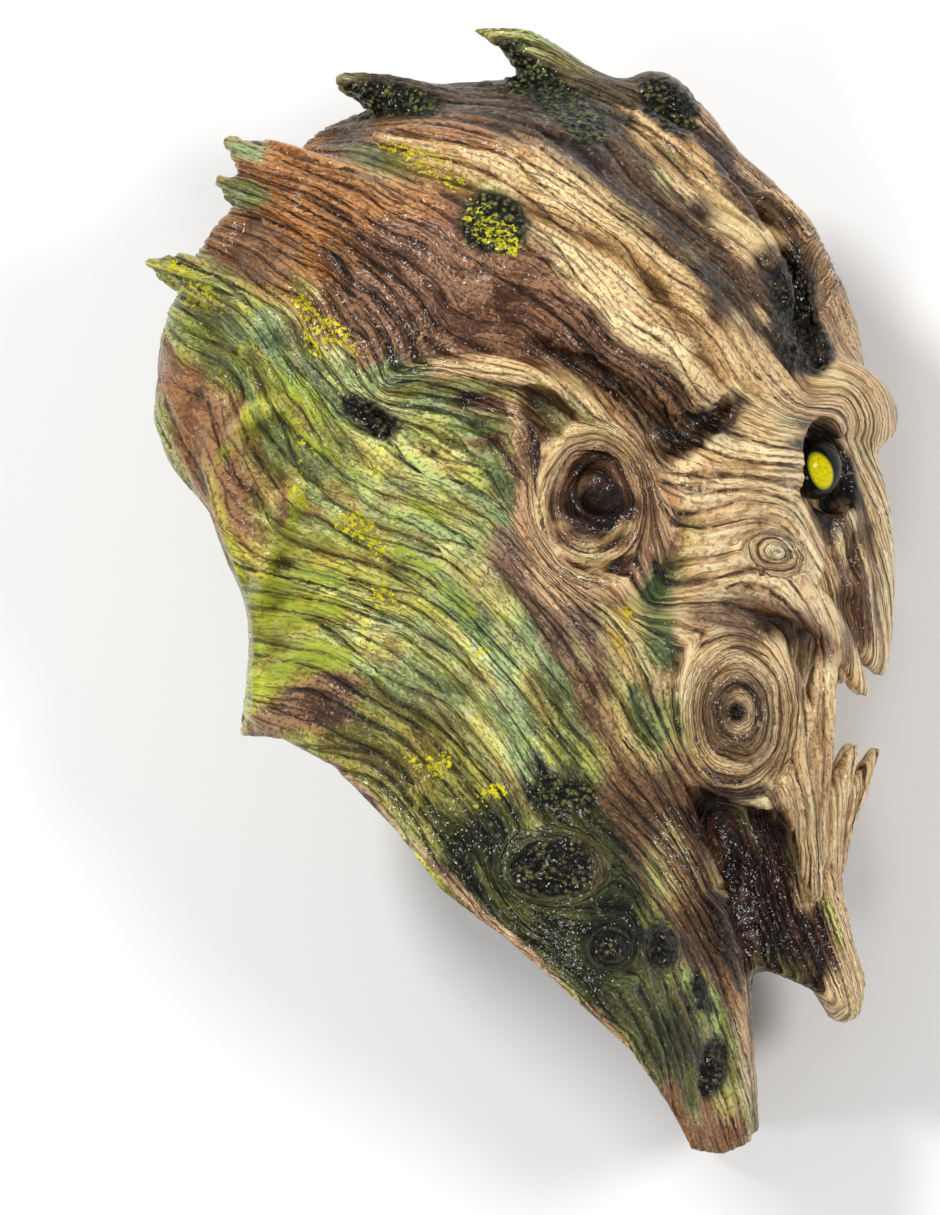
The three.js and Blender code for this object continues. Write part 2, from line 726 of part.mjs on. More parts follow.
// Where two folds of the surface touch along an edge, each is drawn back a little into itself
function unpinched(geometry) {
  const position = geometry.getAttribute("position");
  const point = (n) => new THREE.Vector3().fromBufferAttribute(position, n);
  const around = Array.from({ length: position.count }, () => []);
  for (let t = 0; t < geometry.index.count; t += 3)
    for (let corner = 0; corner < 3; corner++)
      around[geometry.index.getX(t + corner)].push(geometry.index.getX(t + ((corner + 1) % 3)));
  const places = new Map();
  around.forEach((_, n) => {
    const key = point(n).toArray().map((value) => value.toFixed(3)).join(" ");
    places.set(key, [...(places.get(key) ?? []), n]);
  });
  const doubled = [...places.values()].filter((group) => group.length > 1).flat();
  const moved = doubled.map((n) => {
    const centre = around[n].reduce((sum, m) => sum.add(point(m)), at(0, 0, 0)).divideScalar(around[n].length);
    return point(n).add(centre.sub(point(n)).setLength(PINCH_GAP));
  });
  doubled.forEach((n, i) => position.setXYZ(n, ...moved[i].toArray()));
  return geometry;
}

// Everything below and behind the bib's hem, as a prism across the head
function belowTheHem(drop = 0) {
  const hem = [
    [-170, -101], [-90, -102], [-68, -113], [-42, -139], [-26, -160], [-3, -177], [17, -194],
    [48, -223], [62, -244], [72, -263], [84, -266], [112, -256], [170, -256],
  ];
  const shape = new THREE.Shape(hem.map(([f, u]) => new THREE.Vector2(f, u - drop)));
  shape.lineTo(170, -400);
  shape.lineTo(-170, -400);
  shape.closePath();
  return new THREE.ExtrudeGeometry(shape, { depth: 300, bevelEnabled: false }).translate(0, 0, -150);
}

// The resin eyes
function eyeGeometry(side, grow = 0) {
  const ball = new THREE.SphereGeometry(EYE.radius + grow, 18, 12);
  ball.scale(1, 1, EYE.squash);
  ball.rotateY(THREE.MathUtils.degToRad(90 - EYE.turn));
  ball.translate(EYE.centre.x, EYE.centre.y, EYE.centre.z);
  if (side < 0) ball.applyMatrix4(new THREE.Matrix4().makeScale(1, 1, -1));
  if (side < 0) ball.index.array.reverse();
  return ball;
}

// The wearer sees out through a slot between each eye and the nose
function slotGeometry(side) {
  const slotCut = new THREE.CapsuleGeometry(3.2, 18, 2, 8);
  slotCut.scale(5, 1, 1);
  return slotCut.translate(114, 3, side * 20);
}

function mouthGeometry() {
  const way = new THREE.CapsuleGeometry(6.5, 26, 2, 8);
  way.rotateX(Math.PI / 2);
  way.scale(4, 1, 1);
  return way.translate(112, -93, 0);
}

const field = baseField();
const forms = [
  ...crownForms(),
  ...templeForms(),
  ...faceForms(),
  ...earForms(),
  ...jawForms(),
  ...bibForms(),
  ...carvedForms(),
];
forms.forEach((form) => addForm(field, form));
const soft = softened(field);
const hollowField = field.map((value, n) => Math.max(value + WALL, soft[n] + WALL_UNDER_SOFT_FORM));

const largest = (solid) => solid.decompose().sort((a, b) => b.volume() - a.volume())[0];
const skin = largest(solidFrom(surfaceOf(field)).subtract(solidFrom(belowTheHem())));
const hollow = largest(solidFrom(surfaceOf(hollowField)).subtract(solidFrom(belowTheHem(HEM_OVERRUN))));
let shell = solidFrom(thinned(geometryFrom(skin), SKIN_TRIANGLES));
shell = shell.subtract(solidFrom(thinned(geometryFrom(hollow), HOLLOW_TRIANGLES)));
shell = shell.subtract(solidFrom(mouthGeometry()));
for (const side of [1, -1]) {
  shell = shell.subtract(solidFrom(slotGeometry(side)));
  shell = shell.subtract(solidFrom(eyeGeometry(side, GAP)));
}

// It lies on its left side, on the front of the temple log and the hem, its face turned down a little.
// The spots that it lies on are shaved flat, so that it doesn't roll.
const REST_ROLL = THREE.MathUtils.degToRad(14.6);
const REST_TIP = THREE.MathUtils.degToRad(4.6);
const FLAT_DEPTH = 1.8;
const rest = new THREE.Matrix4().makeRotationFromEuler(new THREE.Euler(REST_TIP, REST_ROLL, 0));

const lowest = new THREE.Box3().setFromBufferAttribute(
  geometryFrom(shell).applyMatrix4(rest).getAttribute("position"),
).min.z;
const floor = lowest + FLAT_DEPTH;
const ground = new THREE.BoxGeometry(800, 800, 40).translate(0, 0, floor - 20);
shell = shell.subtract(solidFrom(ground.applyMatrix4(rest.clone().invert())));

const latex = new THREE.MeshStandardMaterial({ color: 0x7d6440, roughness: 0.42, metalness: 0 });
const resin = new THREE.MeshStandardMaterial({ color: 0xe6cf10, roughness: 0.08, metalness: 0 });

const maskShell = new THREE.Mesh(unpinched(geometryFrom(shell)), latex);
maskShell.name = "mask_shell";
const pieces = [maskShell];
for (const [name, side] of [["eye_right", 1], ["eye_left", -1]]) {
  const eye = new THREE.Mesh(eyeGeometry(side), resin);
  eye.name = name;
  pieces.push(eye);
}

const mask = new THREE.Group();
mask.add(...pieces);
mask.setRotationFromMatrix(rest);
const bounds = new THREE.Box3().setFromBufferAttribute(
  maskShell.geometry.clone().applyMatrix4(rest).getAttribute("position"),
);
const middle = bounds.getCenter(new THREE.Vector3());
mask.position.set(-middle.x, -middle.y, -floor);

export default mask;
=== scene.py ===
import math

import bmesh
import bpy
import numpy as np
from mathutils import Euler, Matrix, Vector


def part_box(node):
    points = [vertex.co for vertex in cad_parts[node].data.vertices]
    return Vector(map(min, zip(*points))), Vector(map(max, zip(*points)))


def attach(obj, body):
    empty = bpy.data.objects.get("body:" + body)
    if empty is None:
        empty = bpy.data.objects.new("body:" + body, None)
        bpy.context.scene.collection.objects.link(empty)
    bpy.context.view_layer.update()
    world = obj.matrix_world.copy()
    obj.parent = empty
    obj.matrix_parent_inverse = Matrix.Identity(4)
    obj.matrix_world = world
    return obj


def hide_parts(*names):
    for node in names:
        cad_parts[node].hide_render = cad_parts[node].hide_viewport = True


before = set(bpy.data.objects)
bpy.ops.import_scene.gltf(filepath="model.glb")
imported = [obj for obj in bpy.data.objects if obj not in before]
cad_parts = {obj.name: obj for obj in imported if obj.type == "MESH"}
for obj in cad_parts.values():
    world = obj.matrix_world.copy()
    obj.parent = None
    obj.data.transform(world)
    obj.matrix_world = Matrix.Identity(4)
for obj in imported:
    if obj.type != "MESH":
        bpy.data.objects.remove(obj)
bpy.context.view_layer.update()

# Driving dimensions, in millimetres
CELL = 1.7
WALL = 3.6
WALL_UNDER_SOFT_FORM = 4.8
SOFTEN_REACH = 6
STEP_ALONG_STRAND = 4
RELIEF_FADE = 14
WEB_EDGE = 4
NECK_BLEND = 14
LOW = np.array([-156.0, -300.0, 0.0])
HIGH = np.array([168.0, 198.0, 132.0])

# Eye balls: place, radius and gap in millimetres, squash as a share of the radius, and turn in degrees
EYE = {"centre": (120, 4, 37), "radius": 12.5, "squash": 0.85, "turn": 46, "gap": 0.3}

# The photograph's width in pixels and millimetres to a pixel, and the camera's numbers in millimetres
PHOTO_WIDTH = 940
PHOTO_STEP = 0.4
CAMERA_AIM = (-15, -51, 0)
CAMERA_REACH = 2500
SENSOR_WIDTH = 36

# The finished skin: how many triangles it has, and in metres how near the sides of its box it begins to be
# drawn in, and its least height over the floor
SKIN_TRIANGLES = 192000
DRAWN_IN = 0.002
OFF_FLOOR = 0.0001

# The least values that are divided by: in general, for a share of a section, for a step along a curve, for
# the area about a point, and for the grain's heading
LEAST = 1e-6
LEAST_SHARE = 1e-3
LEAST_STEP = 1e-4
LEAST_AREA = 1e-9
LEAST_HEADING = 1e-12

# The head's frame in the row's frame: turned to the resting pose, and placed by the right eye's box
REST_ROLL = math.radians(14.6)
REST_TIP = math.radians(4.6)
TURN = Euler((REST_TIP, REST_ROLL, 0)).to_matrix()
eye_low, eye_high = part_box("eye_right")
SHIFT = (eye_low + eye_high) / 2 * 1000 - TURN @ Vector(EYE["centre"])


def to_row(points):
    """Points of the head's frame, in millimetres, as points of the row's frame, in metres"""
    return (np.asarray(points, float) @ np.array(TURN).T + np.array(SHIFT)) / 1000


# Camera: the photograph's view of the right side
def add_camera():
    data = bpy.data.cameras.new("camera")
    data.sensor_fit = "HORIZONTAL"
    data.sensor_width = SENSOR_WIDTH
    data.lens = SENSOR_WIDTH * CAMERA_REACH / (PHOTO_WIDTH * PHOTO_STEP)
    data.clip_end = 20
    camera = bpy.data.objects.new("camera", data)
    place = TURN.to_4x4()
    aim = Vector(CAMERA_AIM) + Vector((0, 0, CAMERA_REACH))
    place.translation = Vector(to_row(aim))
    camera.matrix_world = place
    bpy.context.scene.collection.objects.link(camera)
    bpy.context.scene.camera = camera


# The head's sections: height, front, back and half width
CROWN_HEIGHT = 24
CROWN = {"front": 139, "back": 138, "rise": 130, "width": 105}
FAR_OUTSIDE = 60
GRID_MARGIN = 6
HEAD_LEVELS = [
    (24, 139, 138, 105), (0, 133, 124, 104), (-30, 129, 113, 98), (-60, 124, 101, 91), (-90, 117, 101, 84),
    (-108, 108, 103, 76), (-124, 88, 90, 62), (-140, 55, 60, 40), (-156, 20, 20, 15),
]
NECK_LEVELS = [
    (-30, 40, 92, 80), (-60, 56, 99, 84), (-100, 66, 103, 85), (-128, 75, 104, 88), (-152, 82, 106, 93),
    (-192, 91, 108, 99), (-228, 95, 108, 97), (-256, 97, 108, 88), (-310, 99, 108, 74),
]


def section(rows, height):
    """Front, back and half width at a height, on a smooth curve through the rows"""
    table = np.array(rows[::-1], float)
    levels, sizes = table[:, 0], table[:, 1:]
    slopes = np.empty_like(sizes)
    slopes[1:-1] = (sizes[2:] - sizes[:-2]) / (levels[2:] - levels[:-2])[:, None]
    slopes[0] = (sizes[1] - sizes[0]) / (levels[1] - levels[0])
    slopes[-1] = (sizes[-1] - sizes[-2]) / (levels[-1] - levels[-2])
    height = np.clip(height, levels[0], levels[-1])
    i = np.clip(np.searchsorted(levels, height) - 1, 0, len(levels) - 2)
    span = (levels[i + 1] - levels[i])[..., None]
    t = (height[..., None] - levels[i][..., None]) / span
    found = (
        (2 * t**3 - 3 * t**2 + 1) * sizes[i]
        + (t**3 - 2 * t**2 + t) * slopes[i] * span
        + (3 * t**2 - 2 * t**3) * sizes[i + 1]
        + (t**3 - t**2) * slopes[i + 1] * span
    )
    return found[..., 0], found[..., 1], found[..., 2]


def blend(a, b, width):
    """The lesser of two distances, rounded over a width"""
    near = np.maximum(width - np.abs(a - b), 0) / width
    return np.minimum(a, b) - near * near * width / 4


def outside_section(f, r, front, back, width):
    length = np.where(f > 0, front, back)
    share = np.hypot(f / length, r / width)
    return np.hypot(f, r) * (1 - 1 / np.maximum(share, LEAST_SHARE))


def outside_base(f, u, r):
    """How far a point lies outside the bare head and neck"""
    f, u, r = np.asarray(f, float), np.asarray(u, float), np.abs(np.asarray(r, float))
    head = outside_section(f, r, *section(HEAD_LEVELS, u))
    length = np.where(f > 0, CROWN["front"], CROWN["back"])
    rise = np.maximum(u - CROWN_HEIGHT, 0)
    share = np.sqrt((f / length) ** 2 + (rise / CROWN["rise"]) ** 2 + (r / CROWN["width"]) ** 2)
    slope = np.sqrt((f / length**2) ** 2 + (rise / CROWN["rise"] ** 2) ** 2 + (r / CROWN["width"] ** 2) ** 2)
    crown = share * (share - 1) / np.maximum(slope, LEAST)
    head = np.where(u > CROWN_HEIGHT, crown, head)
    head = np.where(u < HEAD_LEVELS[-1][0], FAR_OUTSIDE, head)
    neck = outside_section(f, r, *section(NECK_LEVELS, u))
    neck = np.where(u > NECK_LEVELS[0][0], FAR_OUTSIDE, neck)
    return np.maximum(blend(head, neck, NECK_BLEND), LOW[1] + GRID_MARGIN - u)


def at(f, u, r):
    return np.array([f, u, r], float)


WIDEST = 130.0
HALVINGS = 20


def side(f, u, lift=0):
    """A point on the head's right side, lifted off the bare surface"""
    inside, outside = 0.0, WIDEST
    for _ in range(HALVINGS):
        middle = (inside + outside) / 2
        if outside_base(f, u, middle) < 0:
            inside = middle
        else:
            outside = middle
    return at(f, u, inside + lift)


def curve_through(points, step, closed=False):
    """A centripetal curve through points, in short steps, with each step's place among the points"""
    points = np.array(points, float)
    if closed:
        ring = np.vstack([points[-1], points, points[0], points[1]])
    else:
        ring = np.vstack([2 * points[0] - points[1], points, 2 * points[-1] - points[-2]])
    line, place = [], []
    for i in range(len(ring) - 3):
        p0, p1, p2, p3 = ring[i:i + 4]
        pairs = ((p0, p1), (p1, p2), (p2, p3))
        d0, d1, d2 = (max(np.linalg.norm(b - a), LEAST_STEP) ** 0.5 for a, b in pairs)
        m1 = ((p1 - p0) / d0 - (p2 - p0) / (d0 + d1) + (p2 - p1) / d1) * d1
        m2 = ((p2 - p1) / d1 - (p3 - p1) / (d1 + d2) + (p3 - p2) / d2) * d1
        count = max(1, round(np.linalg.norm(p2 - p1) / step))
        t = (np.arange(count) / count)[:, None]
        line.append(p1 + m1 * t + (3 * (p2 - p1) - 2 * m1 - m2) * t**2 + (2 * (p1 - p2) + m1 + m2) * t**3)
        place.append(i + t[:, 0])
    line.append(ring[-2][None, :])
    place.append(np.array([len(ring) - 3.0]))
    return np.vstack(line), np.concatenate(place)


class Strand:
    """A round strand along a curve, whose radius changes from station to station"""

    def __init__(self, stations, soft=6, carve=False, closed=False):
        points = [point for point, _ in stations]
        radii = np.array([radius for _, radius in stations] + [stations[0][1]] * closed, float)
        self.line, place = curve_through(points, STEP_ALONG_STRAND, closed)
        self.radii = np.interp(place, np.arange(len(radii)), radii)
        self.soft, self.carve = soft, carve
        reach = self.radii.max() + soft + 2 * CELL
        self.low, self.high = self.line.min(0) - reach, self.line.max(0) + reach

    def parts(self):
        for a, b, ra, rb in zip(self.line[:-1], self.line[1:], self.radii[:-1], self.radii[1:]):
            reach = max(ra, rb) + self.soft + 2 * CELL
            yield np.minimum(a, b) - reach, np.maximum(a, b) + reach, (a, b, ra, rb)

    @staticmethod
    def distance(part, f, u, r):
        a, b, ra, rb = part
        along = b - a
        t = (f - a[0]) * along[0] + (u - a[1]) * along[1] + (r - a[2]) * along[2]
        t = np.clip(t / max(along @ along, LEAST), 0, 1)
        gap = (f - a[0] - t * along[0]) ** 2 + (u - a[1] - t * along[1]) ** 2 + (r - a[2] - t * along[2]) ** 2
        return np.sqrt(gap) - ra - t * (rb - ra)


class Lump:
    """An egg-shaped lump or pit, turned by tilt degrees in the side view and by swing about the height"""

    def __init__(self, centre, sizes, tilt=0, swing=0, soft=6, carve=False):
        turn = Matrix.Rotation(math.radians(swing), 3, "Y") @ Matrix.Rotation(math.radians(tilt), 3, "Z")
        self.centre, self.sizes, self.turn = np.array(centre, float), np.array(sizes, float), np.array(turn)
        self.soft, self.carve = soft, carve
        reach = max(sizes) + soft + 2 * CELL
        self.low, self.high = self.centre - reach, self.centre + reach

    def parts(self):
        yield self.low, self.high, self

    @staticmethod
    def distance(part, f, u, r):
        df, du, dr = f - part.centre[0], u - part.centre[1], r - part.centre[2]
        share = slope = 0
        for axis, size in zip(part.turn.T, part.sizes):
            offset = axis[0] * df + axis[1] * du + axis[2] * dr
            share = share + (offset / size) ** 2
            slope = slope + (offset / size**2) ** 2
        share, slope = np.sqrt(share), np.sqrt(slope)
        return np.where(slope < LEAST, -min(part.sizes), share * (share - 1) / np.maximum(slope, LEAST))


def nearest_on_line(line, f, u, closed=False):
    """Distance to a line in the side view, and the share of the line at the nearest point"""
    nearest = np.full(np.broadcast(f, u).shape, np.inf)
    place = np.zeros_like(nearest)
    ends = list(zip(line[:-1], line[1:])) + ([(line[-1], line[0])] if closed else [])
    for i, (a, b) in enumerate(ends):
        along = b - a
        t = np.clip(((f - a[0]) * along[0] + (u - a[1]) * along[1]) / max(along @ along, LEAST), 0, 1)
        gap = np.hypot(f - a[0] - t * along[0], u - a[1] - t * along[1])
        closer = gap < nearest
        nearest = np.where(closer, gap, nearest)
        place = np.where(closer, (i + t) / len(ends), place)
    return nearest, place


def inside_outline(outline, f, u):
    inside = np.zeros(np.broadcast(f, u).shape, bool)
    for a, b in zip(outline, np.roll(outline, -1, axis=0)):
        across = (a[1] > u) != (b[1] > u)
        inside ^= across & (f < a[0] + (u - a[1]) / (b[1] - a[1] if b[1] != a[1] else 1) * (b[0] - a[0]))
    return inside


class Web:
    """A web of even thickness whose outline is drawn in the side view"""

    def __init__(self, outline, half, soft=8):
        self.outline, self.half, self.soft, self.carve = np.array(outline, float), half, soft, False
        reach = half + soft + 2 * CELL
        self.low = np.array([*(self.outline.min(0) - reach), -reach])
        self.high = np.array([*(self.outline.max(0) + reach), reach])

    def parts(self):
        yield self.low, self.high, self

    @staticmethod
    def distance(part, f, u, r):
        nearest, _ = nearest_on_line(part.outline, f, u, closed=True)
        flat = np.where(inside_outline(part.outline, f, u), -nearest, nearest) + WEB_EDGE
        thick = np.abs(r) - part.half + WEB_EDGE
        corner = np.hypot(np.maximum(flat, 0), np.maximum(thick, 0))
        return np.minimum(np.maximum(flat, thick), 0) + corner - WEB_EDGE


# How steeply a relief fades towards its ends, to its whole length
END_SLOPE = 4


class Relief:
    """A groove, or a ridge where depth is negative, along a line drawn in the side view"""

    def __init__(self, line, width, depth, closed=False, inner=0):
        points = np.array([(f, u, 0) for f, u in line], float)
        self.line = curve_through(points, STEP_ALONG_STRAND, closed)[0][:, :2]
        self.width, self.depth, self.closed = width, depth, closed
        self.low = np.array([*(self.line.min(0) - width), inner])
        self.high = np.array([*(self.line.max(0) + width), HIGH[2]])

    def depth_at(self, f, u):
        gap, place = nearest_on_line(self.line, f, u)
        share = np.maximum(1 - (gap / self.width) ** 2, 0)
        ends = 1 if self.closed else np.minimum(1, END_SLOPE * np.minimum(place, 1 - place))
        return self.depth * share * share * ends


class Ripple:
    """Rings about a knot, drawn in the side view"""

    def __init__(self, f, u, long, tall, rings, depth, inner):
        self.centre, self.sizes, self.rings, self.depth = (f, u), (long, tall), rings, depth
        self.low, self.high = at(f - long, u - tall, inner), at(f + long, u + tall, HIGH[2])

    def depth_at(self, f, u):
        share = np.hypot((f - self.centre[0]) / self.sizes[0], (u - self.centre[1]) / self.sizes[1])
        wave = np.maximum(0, -np.cos(share * self.rings * 2 * math.pi))
        return np.where(share > 1, 0, self.depth * wave * np.minimum(1, END_SLOPE * (1 - share)))


# Forms of the forehead and crown
def crown_forms():
    return [
        Strand([
            (at(-66, 126, 0), 14), (at(-30, 139, 0), 17), (at(10, 141, 0), 18), (at(46, 139, 0), 20),
            (at(62, 139, 0), 18), (at(82, 118, 0), 16), (at(104, 95, 0), 17),
        ], soft=12),
        Lump(at(60, 152, 0), (13, 11, 15), tilt=-30, soft=6),
        Lump(at(66, 147, 22), (12, 8, 9), tilt=-35, soft=4, carve=True),
        Strand([
            (at(40, 142, 0), 15), (at(24, 158, 0), 11), (at(10, 170, 0), 8.5), (at(0, 177, 0), 5.5),
            (at(-11, 181, 0), 2.6),
        ], soft=8),
        Strand([(at(-30, 144, 14), 13), (at(-48, 153, 15), 8), (at(-66, 159, 15), 2.6)], soft=6),
        Strand([
            (at(-51, 134, 52), 2.6), (at(-34, 131, 56), 8), (side(-14, 125, -2), 12), (side(6, 115, -5), 16),
            (side(28, 101, -7), 18), (side(52, 82, -7), 18), (side(76, 55, -7), 15), (side(92, 30, -7), 13),
            (side(100, 12, -6), 11),
        ], soft=5),
        Lump(side(0, 103, 1), (14, 13, 7), soft=4),
        Strand([
            (at(53, 142, 30), 5), (at(64, 131, 36), 8), (at(80, 112, 41), 10), (at(96, 90, 45), 9),
            (at(108, 70, 45), 6),
        ], soft=4),
        Strand([
            (at(73, 138, 27), 3), (at(93, 111, 31), 5), (at(108, 86, 36), 6), (at(117, 64, 42), 7),
            (at(123, 47, 47), 4),
        ], soft=4, carve=True),
        Strand([
            (at(92, 100, 0), 17), (at(113, 79, 0), 17), (at(123, 58, 0), 16), (at(128, 38, 0), 14),
        ], soft=12),
        Lump(at(114, 88, 20), (30, 12, 12), tilt=-60, swing=25, soft=5),
        Strand([
            (at(122, 38, 42), 8), (at(131, 37, 30), 10), (at(139, 32, 16), 12), (at(144, 25, 0), 12.5),
        ], soft=7),
    ]


# Forms of the temple and the back of the head
def temple_forms():
    cords = [
        [
            (-70, 126, 22, 5), (-96, 108, 26, 9), (-114, 84, 28, 10), (-124, 56, 24, 9),
            (-126, 28, 20, 8), (-116, 0, 22, 6),
        ],
        [(-92, 112, 8, 4), (-118, 86, 6, 7), (-130, 56, 8, 7), (-132, 26, 6, 6), (-120, -4, 8, 4)],
        [(-104, 46, 58, 6), (-112, 20, 56, 7), (-108, -8, 58, 6), (-98, -34, 60, 5)],
    ]
    roots = [
        [(-86, 29, 4), (-100, 23, 5), (-106, 12, 5), (-112, 2, 4.5), (-108, -14, 4)],
        [(-124, 20, 3.5), (-118, 4, 4.5), (-111, -14, 5), (-103, -34, 5), (-97, -56, 4)],
        [(-80, -3, 3.5), (-93, -14, 4.5), (-96, -36, 5), (-96, -58, 5), (-97, -92, 4.5)],
    ]
    return [
        Strand([
            (at(-109, 131, 50), 2.6), (at(-96, 123, 52), 9), (at(-74, 108, 56), 18), (side(-42, 92, -16), 26),
            (side(-4, 76, -17), 30), (side(32, 58, -16), 31), (side(56, 42, -15), 27),
            (side(68, 32, -13), 21),
        ], soft=9),
        Strand([(at(-84, 104, 58), 12), (at(-100, 111, 52), 7), (at(-113, 116, 47), 2.6)], soft=6),
        Strand([
            (at(-82, 58, 66), 16), (at(-104, 72, 60), 13), (at(-124, 80, 50), 8), (at(-140, 84, 42), 2.8),
        ], soft=9),
        Lump(at(-102, 92, 70), (20, 15, 16), tilt=-20, swing=-50, soft=8, carve=True),
        Lump(at(-112, 26, 26), (26, 32, 26), soft=14),
        Lump(at(-119, 58, 22), (16, 20, 22), soft=10),
        *[Strand([(at(f, u, r), size) for f, u, r, size in cord], soft=6) for cord in cords],
        Lump(side(-54, 21, 1), (9, 4.5, 5), tilt=-35, soft=3, carve=True),
        *[Strand([(side(f, u, 1), size) for f, u, size in root], soft=4) for root in roots],
    ]


# Forms of the ear, an old knot with an arched bark rim
def ear_forms():
    rim = [
        (30, 20), (48, 10), (57, -6), (57, -24), (46, -42), (32, -42), (18, -36), (11, -18), (12, 0),
        (18, 13),
    ]
    upper_lid = [(15, -6), (23, 9), (35, 13), (46, 6), (50, -6)]
    lower_lid = [(20, -16), (35, -22), (49, -16)]
    outer_lid = [(13, -16), (14, 2), (23, 15), (37, 18), (50, 8)]
    lower_fold = [(17, -25), (32, -31), (47, -28), (54, -17)]
    return [
        Strand([(side(f, u, 0), 5.5) for f, u in rim], closed=True, soft=4),
        Strand([
            (side(-50, 35, 1), 2.6), (side(-30, 40, 3), 4.5), (side(-12, 41, 4), 5.5), (side(8, 37, 4), 6),
            (side(28, 26, 3), 6), (side(46, 13, 2), 6),
        ], soft=4),
        Strand([
            (side(-2, 50, 6), 3), (side(22, 44, 4), 4.5), (side(42, 31, 2), 6.5), (side(58, 16, -1), 9),
            (side(71, 17, 0), 7.5), (side(82, 28, 2), 3.5),
        ], soft=4, carve=True),
        Lump(side(13, 25, 3), (7, 12, 9), tilt=40, soft=3, carve=True),
        Lump(side(-12, 25, 4), (13, 8, 6), tilt=-12, soft=3, carve=True),
        Lump(side(-9, 25, 1), (8, 3.5, 4), tilt=-8, soft=2),
        Lump(side(-10, 14, 1), (6, 3.5, 4), tilt=-8, soft=2),
        Lump(side(34, -6, 5), (15, 19, 11), soft=3, carve=True),
        Lump(side(36, -5, -6), (10.5, 11, 12), soft=2),
        Strand([(side(f, u, -1), 4) for f, u in upper_lid], soft=2),
        Strand([(side(f, u, -2), 3.6) for f, u in lower_lid], soft=1.5),
        Strand([(side(f, u, 2), 2.6) for f, u in outer_lid], soft=1.5),
        Strand([(side(f, u, 2), 2.4) for f, u in lower_fold], soft=1.5),
    ]


# Forms of the face
def face_forms():
    return [
        Strand([
            (side(62, -6, -10), 14), (side(80, -6, -10), 17), (side(98, -2, -9), 14), (at(109, 4, 53), 9),
        ], soft=8),
        Strand([
            (side(66, -24, -10), 12), (side(84, -26, -9), 15), (at(100, -28, 56), 15), (at(113, -32, 44), 12),
        ], soft=9),
        Strand([
            (at(138, 10, 0), 9), (at(143, -12, 0), 10), (at(145.5, -40, 0), 9.5), (at(146.5, -60, 0), 7.5),
            (at(149, -75.5, 0), 3),
        ], soft=6),
        Strand([
            (at(130, 8, 9), 8), (at(131, -16, 13), 11), (at(133, -40, 13), 12), (at(138, -58, 8), 9),
            (at(145, -70, 3), 4.5),
        ], soft=6),
        Lump(at(139, -30, 25), (5, 12, 6), tilt=-10, swing=35, soft=3, carve=True),
        Lump(at(138, -54, 22), (4.5, 10, 6), tilt=30, swing=35, soft=3, carve=True),
        Strand([
            (side(80, -38, -2), 6), (side(96, -42, -1), 9), (at(110, -47, 54), 9.5), (at(122, -54, 41), 8),
            (at(132, -66, 27), 5.5), (at(142, -86, 17), 2.4),
        ], soft=4),
        Strand([(at(128, -56, 8), 9), (at(130, -66, 0), 9), (at(132, -78, 0), 5)], soft=6),
        Lump(side(88, -91, -12), (27, 29, 24), swing=28, soft=8),
        Strand([(side(70, -58, 5), 6), (side(88, -60, 6), 8), (side(106, -62, 5), 7)], soft=6, carve=True),
        Strand([
            (side(60, -40, 4), 6), (side(58, -62, 4), 8), (side(60, -88, 4), 8), (side(62, -100, 4), 5),
        ], soft=6, carve=True),
    ]


# Forms of the jaw, the chin and the throat
def jaw_forms():
    throat = [
        (60, -104), (112, -112), (132, -180), (136, -212), (122, -203), (104, -196), (84, -192), (66, -178),
    ]
    return [
        Strand([
            (at(127, -62, 32), 5.5), (at(124, -82, 33), 6), (at(121, -106, 33), 7.5), (at(119, -127, 30), 8),
            (at(119, -147, 26), 6), (at(122, -165, 20), 2.6),
        ], soft=4),
        Strand([
            (side(104, -64, 1), 5), (at(112, -90, 46), 7), (at(111, -112, 42), 8), (at(114, -130, 34), 8),
        ], soft=5),
        Strand([
            (at(124, -146, 15), 7), (at(128, -130, 18), 6.5), (at(133, -118, 18), 4.5),
            (at(138, -105, 18), 1.8),
        ], soft=4),
        Strand([
            (at(126, -150, 0), 9), (at(133, -132, 5), 7), (at(141, -120, 7), 4.2), (at(147, -108, 8), 1.8),
        ], soft=4),
        Strand([
            (at(120, -130, 0), 13), (at(121, -150, 0), 12), (at(124, -168, 0), 10.5), (at(129, -186, 0), 9.5),
            (at(134, -200, 0), 9), (at(134, -209, 0), 7.5),
        ], soft=6),
        Web(throat, 14),
        Strand([
            (side(56, -98, 0), 5), (side(70, -110, 2), 7), (at(88, -120, 56), 7), (at(106, -124, 44), 7),
        ], soft=6),
    ]


# Forms of the neck and the bib
def bib_forms():
    pits = [
        (17, -151, 18, 12, 5, 0), (39, -182, 8, 8, 4, 0), (59, -183, 5.5, 8, 4, 0),
        (74, -201, 5.5, 9.5, 4, -12), (80, -231, 5.5, 13, 4, -14),
    ]
    return [
        Strand([
            (side(14, -42, -5), 10), (side(31, -70, -5), 12), (side(46, -98, -5), 13),
            (side(57, -126, -6), 13), (at(70, -156, 50), 13), (at(78, -186, 38), 14), (at(81, -216, 32), 14),
            (at(82, -262, 30), 14),
        ], soft=7),
        Strand([(at(70, -140, 0), 10), (at(82, -192, 0), 12), (at(86, -262, 0), 12)], soft=12),
        *[
            Lump(side(f, u, 2.5), (long, tall, deep), tilt=tilt, soft=3, carve=True)
            for f, u, long, tall, deep, tilt in pits
        ],
    ]


